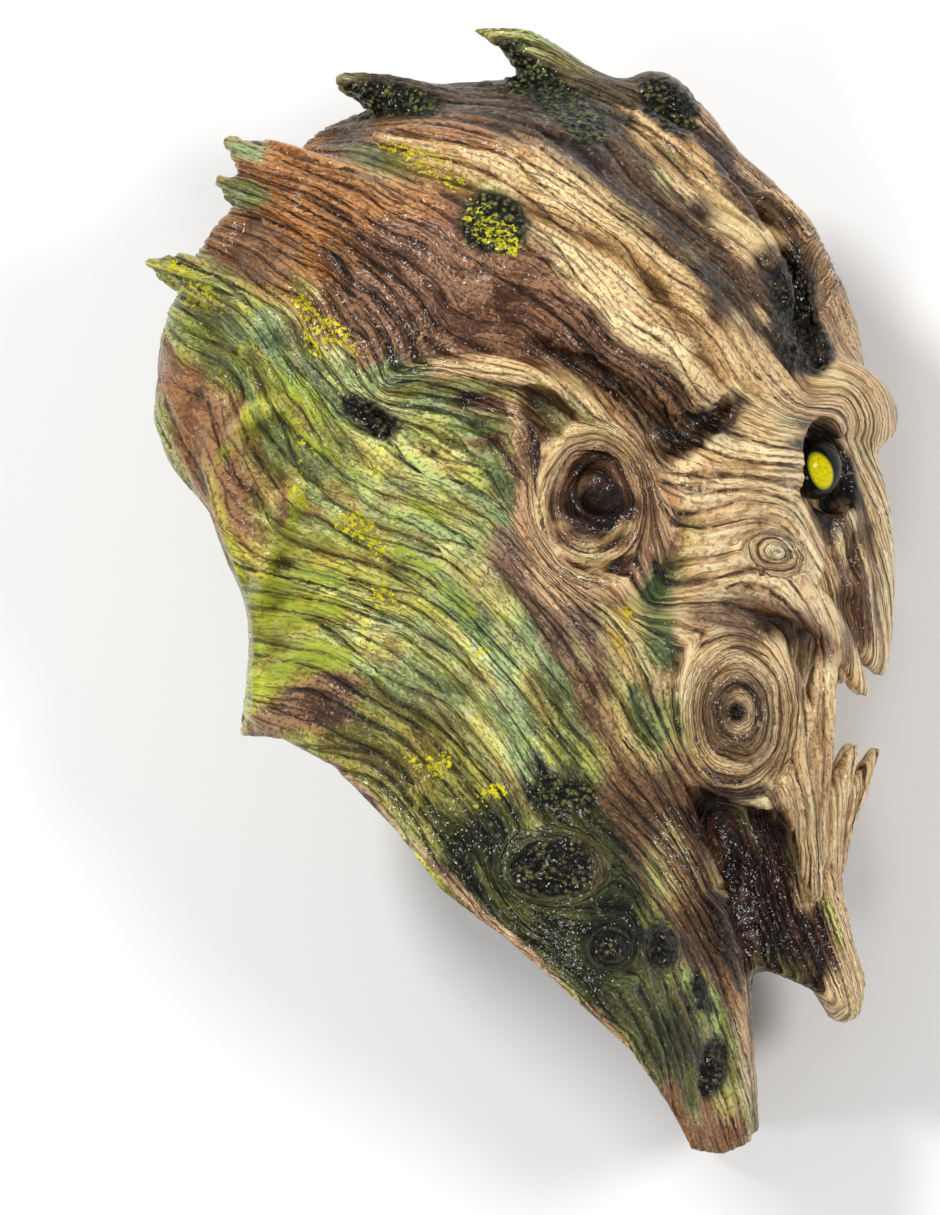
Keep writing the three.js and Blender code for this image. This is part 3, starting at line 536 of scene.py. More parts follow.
# Sockets and the ways through, carved from the outside
def carved_forms():
    radius, gap = EYE["radius"], EYE["gap"]
    return [
        Lump(at(126, 2, 42), (13.5, 22, 25), tilt=12, swing=4, soft=3, carve=True),
        Lump(at(128, 3, 21), (15, 17, 5.5), soft=2, carve=True),
        Lump(
            EYE["centre"], (radius + gap, radius + gap, radius * EYE["squash"] + gap),
            swing=90 - EYE["turn"], soft=0.5, carve=True,
        ),
        Lump(at(136, -95, 0), (14, 13, 25), soft=4, carve=True),
        Lump(side(117, -75) + at(0, 0, 2), (5.5, 13, 11), tilt=-14, swing=20, soft=3, carve=True),
        Strand([(at(104, 76, 60), 4), (at(114, 62, 54), 6), (at(122, 48, 48), 5)], soft=4, carve=True),
    ]


# Roots that run down the nape, and fingers that reach forwards from them
NAPE_ROOTS = [
    [(-94, 34), (-108, 18), (-119, 4), (-116, -8), (-111, -24), (-106, -42), (-103, -64), (-104, -86)],
    [(-82, 2), (-86, -16), (-93, -32), (-98, -50), (-100, -72)],
    [(-98, -46), (-84, -38), (-70, -40)],
    [(-99, -64), (-86, -53), (-68, -50)],
    [(-100, -82), (-84, -70), (-64, -68)],
]


# Grooves and ridges that are wide enough to be shape, drawn in the side view: line, width, depth
def reliefs():
    oval = [(97, -27), (103, -23), (110, -25), (115, -30), (111, -35), (104, -35), (98, -32)]
    return [
        Relief([(4, 104), (24, 96), (45, 84), (60, 68), (74, 50), (82, 36), (83, 22)], 7, 5, inner=40),
        Relief(oval, 2.6, 2.2, closed=True, inner=40),
        Relief([(103, -28), (111, -30)], 4, -2.4, closed=True, inner=40),
        Relief([(81, -38), (84, -29), (92, -22), (104, -17), (113, -21), (119, -29)], 3.5, 2.6, inner=40),
        Ripple(91, -91, 22, 28, 2, 3, 50),
        *[Relief(line, 5.5, -3, inner=36) for line in NAPE_ROOTS],
    ]


# The field on its grid, right half only
AXES = [np.arange(low, high + CELL / 2, CELL) for low, high in zip(LOW, HIGH)]


def block(low, high):
    """The grid nodes inside a box: their slices, and their coordinates"""
    cuts, lines = [], []
    for axis, a, b in zip(AXES, low, high):
        first, last = np.searchsorted(axis, [a, b])
        cuts.append(slice(first, last))
        lines.append(axis[first:last])
    return tuple(cuts), np.ix_(*lines)


# The range in which the base's slope is trusted
SLOPE_RANGE = (0.5, 3)


def base_field():
    field = outside_base(*np.ix_(*AXES))
    steps = []
    for axis in range(3):
        slope = np.zeros_like(field)
        inner = [slice(None)] * 3
        inner[axis] = slice(1, -1)
        ahead, behind = np.roll(field, -1, axis), np.roll(field, 1, axis)
        slope[tuple(inner)] = ((ahead - behind) / (2 * CELL))[tuple(inner)]
        steps.append(slope)
    slope = np.sqrt(sum(step**2 for step in steps))
    slope[[0, -1]] = slope[:, [0, -1]] = 1
    return (field / np.clip(slope, *SLOPE_RANGE)).astype(np.float32)


def add_form(field, form, scratch):
    if hasattr(form, "depth_at"):
        cut, (f, u, r) = block(form.low, form.high)
        field[cut] += form.depth_at(f, u) * eased(r, form.low[2], form.low[2] + RELIEF_FADE)
        return
    for low, high, part in form.parts():
        cut, lines = block(low, high)
        if scratch[cut].size:
            scratch[cut] = np.minimum(scratch[cut], form.distance(part, *lines))
    cut, _ = block(form.low, form.high)
    gap = scratch[cut].copy()
    scratch[cut] = np.inf
    field[cut] = -blend(-field[cut], gap, form.soft) if form.carve else blend(field[cut], gap, form.soft)


def softened(field, reach):
    """A copy of the field with its fine forms averaged away"""
    count = round(reach / CELL)
    for axis in range(3):
        pad = [(0, 0)] * 3
        pad[axis] = (count, count)
        wide = np.pad(field, pad, mode="edge" if axis < 2 else "reflect")
        total = np.cumsum(wide, axis=axis, dtype=np.float64)
        total = np.insert(total, 0, 0, axis=axis)
        ahead = np.take(total, range(2 * count + 1, total.shape[axis]), axis=axis)
        behind = np.take(total, range(0, total.shape[axis] - 2 * count - 1), axis=axis)
        field = ((ahead - behind) / (2 * count + 1)).astype(np.float32)
    return field


HEM = np.array([
    (-170, -101), (-90, -102), (-68, -113), (-42, -139), (-26, -160), (-3, -177), (17, -194), (48, -223),
    (62, -244), (72, -263), (84, -266), (112, -256), (170, -256),
], float)


def below_hem(f, u):
    """How far a point lies below and behind the bib's hem"""
    gap, _ = nearest_on_line(HEM, f, u)
    return np.where(u < np.interp(f, HEM[:, 0], HEM[:, 1]), gap, -gap)


# Ways through the wall at the mouth and beside the eye: middle, radius, half length, stretch along f, axis
SLOTS = [((112, -93, 0), 6.5, 13, 4, "r"), ((114, 3, 20), 3.2, 9, 5, "u")]


def capsule(f, u, r, radius, half, stretch, along):
    """Distance to a round-ended slot through the wall, drawn out along f"""
    reach = {"f": f / stretch, "u": u, "r": r}
    reach[along] = np.maximum(np.abs(reach[along]) - half, 0)
    return np.sqrt(sum(value**2 for value in reach.values())) - radius


def skin_fields():
    """The outer skin's field, the same softened, and the whole shell's"""
    field = base_field()
    scratch = np.full(field.shape, np.inf, np.float32)
    for form in FORMS:
        add_form(field, form, scratch)
    soft = softened(field, SOFTEN_REACH)
    shell = np.maximum(field, -np.maximum(field + WALL, soft + WALL_UNDER_SOFT_FORM))
    for centre, *sizes in SLOTS:
        apart = [line - middle for line, middle in zip(np.ix_(*AXES), centre)]
        shell = np.maximum(shell, -capsule(*apart, *sizes))
    shell = np.maximum(shell, below_hem(*np.ix_(*AXES[:2]))[:, :, None])
    return field, soft, shell.astype(np.float32)


def both_halves(field):
    return np.concatenate([field[:, :, :0:-1], field], axis=2)


# How often touching folds are looked for, and the distance that fills them, just inside the surface
FOLD_ROUNDS = 4
JUST_INSIDE = -0.02


def without_touching_folds(field):
    """The field with each place filled where two folds of the surface would meet along an edge"""
    for _ in range(FOLD_ROUNDS):
        for first, second in ((0, 1), (0, 2), (1, 2)):
            cuts = []
            for a, b in ((0, 0), (1, 0), (1, 1), (0, 1)):
                cut = [slice(None)] * 3
                cut[first] = slice(a, a - 1 or None)
                cut[second] = slice(b, b - 1 or None)
                cuts.append(tuple(cut))
            solid = [field[cut] < 0 for cut in cuts]
            for k in (0, 1):
                crossed = ~solid[k] & solid[k + 1] & ~solid[k + 2] & solid[(k + 3) % 4]
                for cut in (cuts[k], cuts[k + 2]):
                    field[cut] = np.where(crossed, JUST_INSIDE, field[cut])
    return field


def surface_net(field, corner):
    """The zero surface of a grid of distances, as points and four-sided faces"""
    shape = np.array(field.shape)
    solid = field < 0
    strides = np.array([shape[1] * shape[2], shape[2], 1])
    cells, places, quads = [], [], []
    for axis in range(3):
        behind = [slice(None)] * 3
        ahead = [slice(None)] * 3
        behind[axis], ahead[axis] = slice(0, -1), slice(1, None)
        nodes = np.argwhere(solid[tuple(behind)] != solid[tuple(ahead)])
        step = np.eye(3, dtype=int)[axis]
        near = field[tuple(nodes.T)]
        far = field[tuple((nodes + step).T)]
        point = nodes.astype(float)
        point[:, axis] += near / (near - far)
        b, c = np.eye(3, dtype=int)[(axis + 1) % 3], np.eye(3, dtype=int)[(axis + 2) % 3]
        ring = [nodes - b - c, nodes - c, nodes, nodes - b]
        ids = np.stack([cell @ strides for cell in ring], axis=1)
        flip = near > 0
        ids[flip] = ids[flip][:, ::-1]
        cells.append(ids.ravel())
        places.append(np.repeat(point, 4, axis=0))
        quads.append(ids)
    known, index = np.unique(np.concatenate(cells), return_inverse=True)
    places = np.vstack(places)
    count = np.bincount(index, minlength=len(known))
    points = np.stack([np.bincount(index, places[:, k], len(known)) / count for k in range(3)], axis=1)
    return points * CELL + corner, index.reshape(-1, 4)


def largest_body(points, faces):
    """Only the largest connected part of a mesh"""
    group = np.arange(len(points))
    while True:
        low = group[faces].min(axis=1)
        spread = group.copy()
        np.minimum.at(spread, faces.ravel(), np.repeat(low, faces.shape[1]))
        spread = spread[spread]
        if (spread == group).all():
            break
        group = spread
    kept = group == np.bincount(group).argmax()
    number = np.cumsum(kept) - 1
    return points[kept], number[faces[kept[faces[:, 0]]]]


def sampled(field, points):
    """The field's value and slope at each point, on either half"""
    half = np.where(points[:, 2] < 0, -1, 1)
    place = (points * np.stack([half * 0 + 1, half * 0 + 1, half], axis=1) - LOW) / CELL
    place = np.clip(place, 0, np.array(field.shape) - 1.001)
    base = place.astype(int)
    part = place - base
    value = 0
    slope = np.zeros_like(points)
    for corner in np.ndindex(2, 2, 2):
        weight = np.where(corner, part, 1 - part)
        known = field[tuple((base + corner).T)]
        value = value + weight.prod(axis=1) * known
        for k in range(3):
            others = weight[:, (k + 1) % 3] * weight[:, (k + 2) % 3]
            slope[:, k] += others * known * (1 if corner[k] else -1) / CELL
    slope[:, 2] *= half
    return value, slope


# How far a point moves towards its neighbours' middle, the least slope that it follows onto the surface, and
# its longest step there, in millimetres
SPREAD = 0.6
LEAST_SLOPE = 0.3
LONGEST_STEP = 0.6 * CELL


def evened(points, faces, field, rounds=3):
    """The points spread more evenly over the surface, and drawn onto it"""
    ends = np.concatenate([faces[:, [k, (k + 1) % 4]] for k in range(4)])
    count = np.bincount(ends[:, 0], minlength=len(points))[:, None]
    for _ in range(rounds):
        total = [np.bincount(ends[:, 0], points[ends[:, 1], k], len(points)) for k in range(3)]
        points = (1 - SPREAD) * points + SPREAD * np.stack(total, axis=1) / count
        value, slope = sampled(field, points)
        step = value / np.maximum((slope**2).sum(axis=1), LEAST_SLOPE)
        points = points - slope * np.clip(step, -LONGEST_STEP, LONGEST_STEP)[:, None]
    return points


def point_normals(points, faces):
    across = np.cross(points[faces[:, 2]] - points[faces[:, 0]], points[faces[:, 3]] - points[faces[:, 1]])
    normals = np.zeros_like(points)
    for corner in range(4):
        for k in range(3):
            normals[:, k] += np.bincount(faces[:, corner], across[:, k], len(points))
    return normals / np.maximum(np.linalg.norm(normals, axis=1), LEAST_AREA)[:, None]


# Repeatable noise: odd factors that mix the three numbers of a lattice corner, the seed and the result
FACTORS = (374761393, 668265263, 2246822519)
SEED_FACTOR = 3266489917
LAST_FACTOR = 1274126177
WORD = 0xFFFFFFFF


def lattice(i, j, k, seed):
    """A number from -1 to 1 for each lattice corner"""
    parts = [(n & WORD).astype(np.uint32) * np.uint32(factor) for n, factor in zip((i, j, k), FACTORS)]
    mixed = parts[0] + parts[1] + parts[2] + np.uint32((seed * SEED_FACTOR) & WORD)
    mixed = (mixed ^ (mixed >> np.uint32(13))) * np.uint32(LAST_FACTOR)
    mixed = mixed ^ (mixed >> np.uint32(16))
    return mixed / 2.0**31 - 1


def noise(points, seed=0):
    """Smooth noise from -1 to 1 with a wavelength of about one unit"""
    base = np.floor(points).astype(np.int64)
    part = points - base
    ease = part**3 * (part * (part * 6 - 15) + 10)
    value = 0
    for corner in np.ndindex(2, 2, 2):
        weight = np.prod(np.where(corner, ease, 1 - ease), axis=1)
        value = value + weight * lattice(*(base + corner).T, seed)
    return value


def noise_of(seed, *parts):
    """Smooth noise of coordinates that are given one by one, each in wavelengths"""
    return noise(np.stack(parts, axis=1), seed)


def eased(value, low, high):
    share = np.clip((value - low) / (high - low), 0, 1)
    return share * share * (3 - 2 * share)


# Lines that the grain follows in the photograph's view, each drawn from the back of the head forwards
GRAIN_LINES = [
    # the crest and the roots on the forehead
    [(-52, 150), (-20, 146), (16, 146), (40, 140), (56, 122)],
    [(8, 172), (22, 162), (38, 148), (52, 128)],
    [(-48, 134), (-20, 134), (6, 128), (28, 118), (52, 100)],
    [(-28, 138), (-4, 135), (16, 126), (30, 121)],
    [(30, 131), (49, 115), (72, 101), (86, 88), (99, 71), (107, 54), (113, 35)],
    [(29, 111), (52, 94), (72, 76), (86, 60), (97, 40), (109, 28)],
    [(49, 142), (57, 130), (70, 111), (86, 96), (97, 88)],
    [(63, 140), (72, 131), (86, 116), (97, 104), (104, 92)],
    [(70, 150), (84, 134), (98, 122), (112, 104), (122, 84), (130, 62)],
    [(49, 94), (57, 80), (72, 68), (83, 54), (88, 40)],
    # the temple log
    [(-108, 132), (-80, 126), (-50, 122), (-26, 112), (0, 98), (22, 82), (45, 64), (70, 46)],
    [(-74, 118), (-57, 109), (-42, 101), (-27, 91), (-20, 84), (-5, 79), (12, 70)],
    [(-81, 103), (-64, 96), (-50, 87), (-42, 79), (-33, 68), (-25, 53)],
    [(-46, 82), (-30, 66), (-14, 53), (2, 50)],
    [(-36, 82), (-22, 71), (-9, 66), (8, 68), (30, 54), (50, 40)],
    [(-70, 87), (-64, 71), (-58, 62), (-52, 41)],
    [(-55, 74), (-47, 62), (-42, 50)],
    [(-90, 98), (-80, 82), (-72, 66), (-66, 50), (-58, 34)],
    [(29, 68), (49, 51), (63, 41), (72, 35)],
    # the thorn and the neck behind the ear
    [(-140, 84), (-119, 77), (-102, 66), (-90, 54), (-78, 42), (-65, 28), (-50, 12)],
    [(-94, 78), (-78, 68), (-67, 53), (-56, 38), (-46, 27), (-36, 16), (-24, 4), (-10, -12)],
    [(-111, 65), (-94, 47), (-81, 32), (-70, 16), (-56, 3), (-40, -5), (-26, -10), (-8, -24), (8, -44)],
    [(-92, 32), (-81, 16), (-70, -1), (-56, -15), (-40, -23), (-30, -30), (-12, -48), (2, -72)],
    [(-127, 53), (-111, 47), (-104, 39)],
    [(-136, 44), (-128, 30), (-120, 14), (-114, -2)],
    [(-110, 36), (-104, 16), (-96, -2), (-84, -22), (-64, -36), (-40, -52), (-16, -74), (2, -100)],
    [(-102, -40), (-82, -46), (-58, -52), (-36, -64), (-14, -84), (4, -112)],
    [(-103, -64), (-80, -58), (-56, -66), (-30, -78), (-8, -98), (10, -124)],
    [(-102, -84), (-76, -80), (-50, -90), (-26, -96), (-4, -112), (18, -136)],
    [(-70, -108), (-46, -106), (-20, -112), (2, -124), (24, -140)],
    # the neck's front cord and the bib
    [(0, -30), (10, -46), (24, -70), (36, -96), (48, -122), (62, -150), (74, -180), (84, -208), (92, -240)],
    [(20, -42), (34, -66), (48, -90), (62, -116), (76, -146), (86, -176), (93, -206), (97, -240)],
    [(-2, -44), (14, -72), (26, -100), (38, -128), (50, -156), (62, -184), (70, -214), (76, -250)],
    [(-50, -118), (-30, -126), (-8, -134), (0, -146), (2, -160), (14, -170), (32, -168), (42, -158)],
    [(-34, -142), (-12, -160), (10, -176), (30, -172), (48, -164)],
    [(14, -184), (28, -194), (44, -198), (52, -190)],
    [(30, -200), (40, -212), (52, -222), (62, -240)],
    [(52, -200), (58, -214), (66, -232), (74, -256)],
    # the cheekbone, the cheek and the nose
    [(62, 4), (78, 12), (94, 16), (112, 18)],
    [(61, -2), (76, 1), (94, 3), (112, 5)],
    [(61, -10), (78, -9), (97, -5), (114, -10)],
    [(66, -22), (82, -17), (96, -12), (112, -13), (122, -24)],
    [(66, -32), (82, -30), (96, -26), (110, -26), (122, -36), (132, -54), (141, -76)],
    [(76, -44), (90, -40), (106, -40), (118, -48), (130, -62), (140, -80)],
    [(124, 36), (138, 36), (150, 24)],
    [(134, 8), (142, -10), (148, -36), (150, -64), (149, -76)],
    [(128, -4), (132, -20), (138, -44), (146, -66)],
    # the panel under the cheek, and the strands of the jaw
    [(64, -52), (80, -50), (96, -52), (112, -58), (120, -70)],
    [(66, -58), (64, -76), (66, -96), (72, -112), (88, -122), (104, -122)],
    [(110, -70), (110, -90), (110, -112), (114, -134), (120, -156)],
    [(120, -64), (117, -86), (118, -110), (119, -134), (122, -160)],
    [(130, -72), (128, -92), (126, -114), (124, -140), (124, -164)],
    [(148, -110), (141, -122), (134, -138), (130, -160), (132, -184), (138, -208)],
    # the throat
    [(78, -140), (96, -134), (112, -144), (122, -164), (130, -188)],
    [(82, -168), (100, -160), (114, -170), (126, -190), (134, -206)],
    [(84, -188), (102, -188), (118, -196), (132, -208)],
    # the ear's rim
    [(-48, 36), (-26, 41), (0, 40), (24, 31), (46, 14), (58, -4), (60, -24), (48, -42)],
    [(8, 14), (10, -6), (14, -24), (24, -38), (40, -46)],
]

# The grain's grid, in millimetres: its step, how far it goes past the field, the step along each line and the
# reach of a line. Then how much the slope along the grain counts, and how the fit is steadied and repeated
GRAIN_STEP = 4.0
GRAIN_MARGIN = 8
LINE_STEP = 5
LINE_REACH = 3
RISE_WEIGHT = 0.3
STEADY = 1e-6
FIT_ROUNDS = 400

# How far from the middle plane the grain begins to fold over towards the other half, in millimetres
FOLD = 50.0

# Cords of bark: how many fit in a millimetre across the grain, and along it
CELLS = {"cord": (0.20, 0.027, 0.027), "twig": (0.5, 0.07, 0.07)}

# Creases that run across the grain are left out: where that begins and is full, and what it adds to the
# distance from them, in millimetres
CROSSWISE = (0.62, 0.32)
CROSSWISE_LIFT = 3.0

# Knots that the grain runs around: centre, half length, half height, tilt, and millimetres from ring to ring
KNOTS = [
    ((92, -93), 23, 32, 0, 3.4),
    ((107, -29), 13, 8, -22, 2.6),
    ((126, 86), 9, 27, -24, 3.2),
    ((34, -9), 23, 29, 0, 4.6),
    ((18, -155), 22, 15, 0, 5.0),
    ((41, -187), 10, 10, 0, 4.0),
    ((62, -187), 7, 10, 0, 4.0),
]


def grain_field():
    """Two smooth coordinates in the side view: one across the grain and one along it"""
    f_line = np.arange(LOW[0] - GRAIN_MARGIN, HIGH[0] + GRAIN_MARGIN + 1, GRAIN_STEP)
    u_line = np.arange(LOW[1] - GRAIN_MARGIN, HIGH[1] + GRAIN_MARGIN + 1, GRAIN_STEP)
    f, u = np.meshgrid((f_line[1:] + f_line[:-1]) / 2, (u_line[1:] + u_line[:-1]) / 2, indexing="ij")
    heading = np.zeros((2, *f.shape))
    for line in GRAIN_LINES:
        points = curve_through([(a, b, 0) for a, b in line], LINE_STEP)[0][:, :2]
        for a, b in zip(points[:-1], points[1:]):
            middle = (a + b) / 2
            near = 1 / ((f - middle[0]) ** 2 + (u - middle[1]) ** 2 + LINE_REACH**2) ** 2
            heading += near * (b - a)[:, None, None]
    heading /= np.maximum(np.hypot(*heading), LEAST_HEADING)
    sideways = np.stack([-heading[1], heading[0]])

    def slopes(s):
        ahead = (s[1:, 1:] + s[1:, :-1] - s[:-1, 1:] - s[:-1, :-1]) / (2 * GRAIN_STEP)
        up = (s[1:, 1:] + s[:-1, 1:] - s[1:, :-1] - s[:-1, :-1]) / (2 * GRAIN_STEP)
        return np.stack([ahead, up])

    def gathered(g):
        total = np.zeros((g.shape[1] + 1, g.shape[2] + 1))
        for i, j in np.ndindex(2, 2):
            part = (2 * i - 1) * g[0] + (2 * j - 1) * g[1]
            total[i:total.shape[0] - 1 + i, j:total.shape[1] - 1 + j] += part / (2 * GRAIN_STEP)
        return total

    def fitted(flat_along, rising_along, weight):
        def pulled(s):
            g = slopes(s)
            flat = flat_along * (flat_along * g).sum(0)
            rise = rising_along * (rising_along * g).sum(0) * weight
            return gathered(flat + rise) + s * STEADY

        s = np.zeros((len(f_line), len(u_line)))
        rest = gathered(rising_along * weight)
        push = rest.copy()
        size = (rest**2).sum()
        for _ in range(FIT_ROUNDS):
            answer = pulled(push)
            share = size / (push * answer).sum()
            s += share * push
            rest -= share * answer
            new = (rest**2).sum()
            push = rest + new / size * push
            size = new
        return s

    across, along = fitted(heading, sideways, RISE_WEIGHT), fitted(sideways, heading, RISE_WEIGHT)
    return f_line, u_line, across, along


def read_grid(grid, f_line, u_line, f, u):
    i = np.clip((f - f_line[0]) / GRAIN_STEP, 0, len(f_line) - 1.001)
    j = np.clip((u - u_line[0]) / GRAIN_STEP, 0, len(u_line) - 1.001)
    a, b = i.astype(int), j.astype(int)
    s, t = i - a, j - b
    low = grid[a, b] * (1 - s) + grid[a + 1, b] * s
    high = grid[a, b + 1] * (1 - s) + grid[a + 1, b + 1] * s
    return low * (1 - t) + high * t


def as_seen(points):
    """Each point in the photograph's view, in millimetres at the middle plane, and its distance from that"""
    r = np.abs(points[:, 2])
    closer = CAMERA_REACH / (CAMERA_REACH - r)
    f = CAMERA_AIM[0] + (points[:, 0] - CAMERA_AIM[0]) * closer
    u = CAMERA_AIM[1] + (points[:, 1] - CAMERA_AIM[1]) * closer
    return f, u, r


# The head's middle line: heights, and how far forward it lies at each
MIDDLE_HEIGHTS = [-260, -200, -140, -60, 20]
MIDDLE_FRONTS = [60, 20, -20, -10, 0]
MIDDLE_REACH = 20
INWARD_GAIN = 1.4


def inward(grid, f_line, u_line):
    """How fast the grain's coordinate grows towards the middle of the head, from -1 to 1"""
    slope = np.stack(np.gradient(grid, GRAIN_STEP))
    f, u = np.meshgrid(f_line, u_line, indexing="ij")
    middle = np.interp(u, MIDDLE_HEIGHTS, MIDDLE_FRONTS)
    toward = np.stack([middle - f, np.minimum(MIDDLE_HEIGHTS[-1] - u, 0)])
    toward /= np.maximum(np.hypot(*toward), MIDDLE_REACH)
    return np.clip(INWARD_GAIN * (slope * toward).sum(0), -1, 1)


# Where a knot's hold on the grain begins to fade and ends, as shares of the knot's size
KNOT_EDGE = (0.8, 1.2)


def knot_place(knot, f, u):
    """Millimetres from a knot's centre, measured in its own oval, the direction and the knot's hold"""
    (f0, u0), long, tall, tilt, _ = knot
    turn = math.radians(tilt)
    df, du = f - f0, u - u0
    x = (df * math.cos(turn) + du * math.sin(turn)) / long
    y = (du * math.cos(turn) - df * math.sin(turn)) / tall
    share = np.hypot(x, y)
    size = math.sqrt(long * tall)
    return share * size, x * size, y * size, 1 - eased(share, *KNOT_EDGE)


def read_creases(thing):
    """Each point's distance to the crease beside it, worked out just as the material does"""
    tree = bpy.data.node_groups.new("bark_creases", "GeometryNodeTree")
    for way in ("INPUT", "OUTPUT"):
        tree.interface.new_socket("Geometry", in_out=way, socket_type="NodeSocketGeometry")
    s = Nodes(tree)
    last = s.node("NodeGroupInput")
    read = s.node("GeometryNodeInputNamedAttribute", out=None, data_type="FLOAT_VECTOR")
    read.inputs["Name"].default_value = "grain"
    grain = [socket for socket in read.outputs if socket.enabled and socket.name == "Attribute"][0]
    for name, scale in CELLS.items():
        store = s.node("GeometryNodeStoreNamedAttribute", last, out=None, data_type="FLOAT")
        store.inputs["Name"].default_value = name
        value = [socket for socket in store.inputs if socket.name == "Value" and socket.enabled][0]
        s.feed(value, s.crease(grain, scale)[0])
        last = store.outputs[0]
    s.node("NodeGroupOutput", last, out=None)
    thing.modifiers.new("creases", "NODES").node_group = tree
    baked = baked_mesh(thing)
    found = []
    for name in CELLS:
        values = np.empty(len(baked.vertices), np.float32)
        baked.attributes[name].data.foreach_get("value", values)
        found.append(values)
    return found


class Nodes:
    """A short way to write node trees"""

    def __init__(self, tree):
        self.tree = tree
        self.tree.nodes.clear()

    def node(self, kind, *inputs, out=0, **settings):
        made = self.tree.nodes.new(kind if "Node" in kind else "ShaderNode" + kind)
        for key, value in settings.items():
            setattr(made, key, value)
        for i, value in enumerate(inputs):
            self.feed(made.inputs[i], value)
        return made.outputs[out] if out is not None else made

    def feed(self, socket, value):
        if isinstance(value, bpy.types.NodeSocket):
            self.tree.links.new(value, socket)
        elif value is not None:
            if socket.type == "RGBA" and len(value) == 3:
                value = (*value, 1)
            socket.default_value = value

    def math(self, operation, a, b=0.0, c=0.0, clamp=False):
        return self.node("Math", a, b, c, operation=operation, use_clamp=clamp)

    def vector(self, operation, a, b=(0, 0, 0), out=0):
        return self.node("VectorMath", a, b, operation=operation, out=out)

    def attribute(self, name):
        return self.node("Attribute", attribute_name=name, out=1)

    def times(self, a, b):
        return self.math("MULTIPLY", a, b)

    def scaled(self, value, by, plus):
        return self.math("MULTIPLY_ADD", value, by, plus)

    def less(self, a, b):
        return self.math("SUBTRACT", a, b)

    def parts(self, vector):
        return self.node("SeparateXYZ", vector, out=None).outputs

    def mix(self, share, a, b, how="MIX"):
        made = self.node("Mix", out=None, data_type="RGBA", blend_type=how, clamp_factor=True)
        for place, value in ((0, share), (6, a), (7, b)):
            self.feed(made.inputs[place], value)
        return made.outputs[2]

    def noise(self, vector, scale, detail=2.0, roughness=0.5):
        made = self.node("TexNoise", out=None, noise_dimensions="3D")
        self.feed(made.inputs["Vector"], vector)
        made.inputs["Scale"].default_value = scale
        made.inputs["Detail"].default_value = detail
        made.inputs["Roughness"].default_value = roughness
        return made.outputs[0]

    def grained(self, grain, scale, detail, roughness):
        """Noise drawn out along the grain"""
        return self.noise(self.vector("MULTIPLY", grain, scale), 1.0, detail, roughness)

    def cells(self, vector, scale, feature="F1", dimensions="3D"):
        made = self.node("TexVoronoi", out=None, feature=feature, voronoi_dimensions=dimensions)
        self.feed(made.inputs["Vector"], vector)
        made.inputs["Scale"].default_value = scale
        return made.outputs

    def ramp(self, value, low, high):
        made = self.node("MapRange", out=None, interpolation_type="SMOOTHSTEP")
        self.feed(made.inputs[0], value)
        made.inputs[1].default_value = low
        made.inputs[2].default_value = high
        return made.outputs[0]

    def crease(self, grain, scale):
        """Millimetres to the crease beside each cord of bark, and a random number for each cord"""
        place = self.vector("MULTIPLY", grain, scale)
        first, second = (self.cells(place, 1.0, feature, "2D") for feature in ("F1", "F2"))
        near, far = first[2], second[2]
        across = self.vector("NORMALIZE", self.vector("SUBTRACT", far, near))
        between = self.vector("SCALE", self.vector("ADD", near, far))
        between.node.inputs["Scale"].default_value = 0.5
        gap = self.vector("DOT_PRODUCT", self.vector("SUBTRACT", between, place), across, out=1)
        steep = self.vector("LENGTH", self.vector("MULTIPLY", across, scale), out=1)
        turned = self.ramp(self.math("ABSOLUTE", self.parts(across)[0]), *CROSSWISE)
        distance = self.scaled(turned, CROSSWISE_LIFT, self.math("DIVIDE", gap, steep))
        return distance, self.parts(first[1])[0]


class Shader(Nodes):
    def __init__(self, name):
        self.material = bpy.data.materials.new(name)
        self.material.use_nodes = True
        super().__init__(self.material.node_tree)

    def bump(self, height, distance):
        made = self.node("Bump", out=None)
        made.inputs["Strength"].default_value = 1.0
        made.inputs["Distance"].default_value = distance
        self.feed(made.inputs["Height"], height)
        return made.outputs[0]

    def finish(self, looks):
        """The material, with these inputs of its principled shader"""
        shader = self.node("BsdfPrincipled", out=None)
        for name, value in looks.items():
            self.feed(shader.inputs[name], value)
        self.tree.links.new(shader.outputs[0], self.node("OutputMaterial", out=None).inputs[0])
        return self.material


def baked_mesh(thing):
    """The object's mesh with its modifiers applied, and the modifiers removed"""
    mesh = bpy.data.meshes.new_from_object(thing.evaluated_get(bpy.context.evaluated_depsgraph_get()))
    thing.modifiers.clear()
    return mesh


def linear(colour):
    """An sRGB colour of 0 to 255 as linear light"""
    c = np.array(colour, float) / 255
    return np.where(c <= 0.04045, c / 12.92, ((c + 0.055) / 1.055) ** 2.4)


def srgb(colour):
    """An sRGB colour of 0 to 255 for a node"""
    return tuple(linear(colour))


# How much red, green and blue light the varnish lets through
VARNISH = np.array([1.0, 0.95, 0.83])

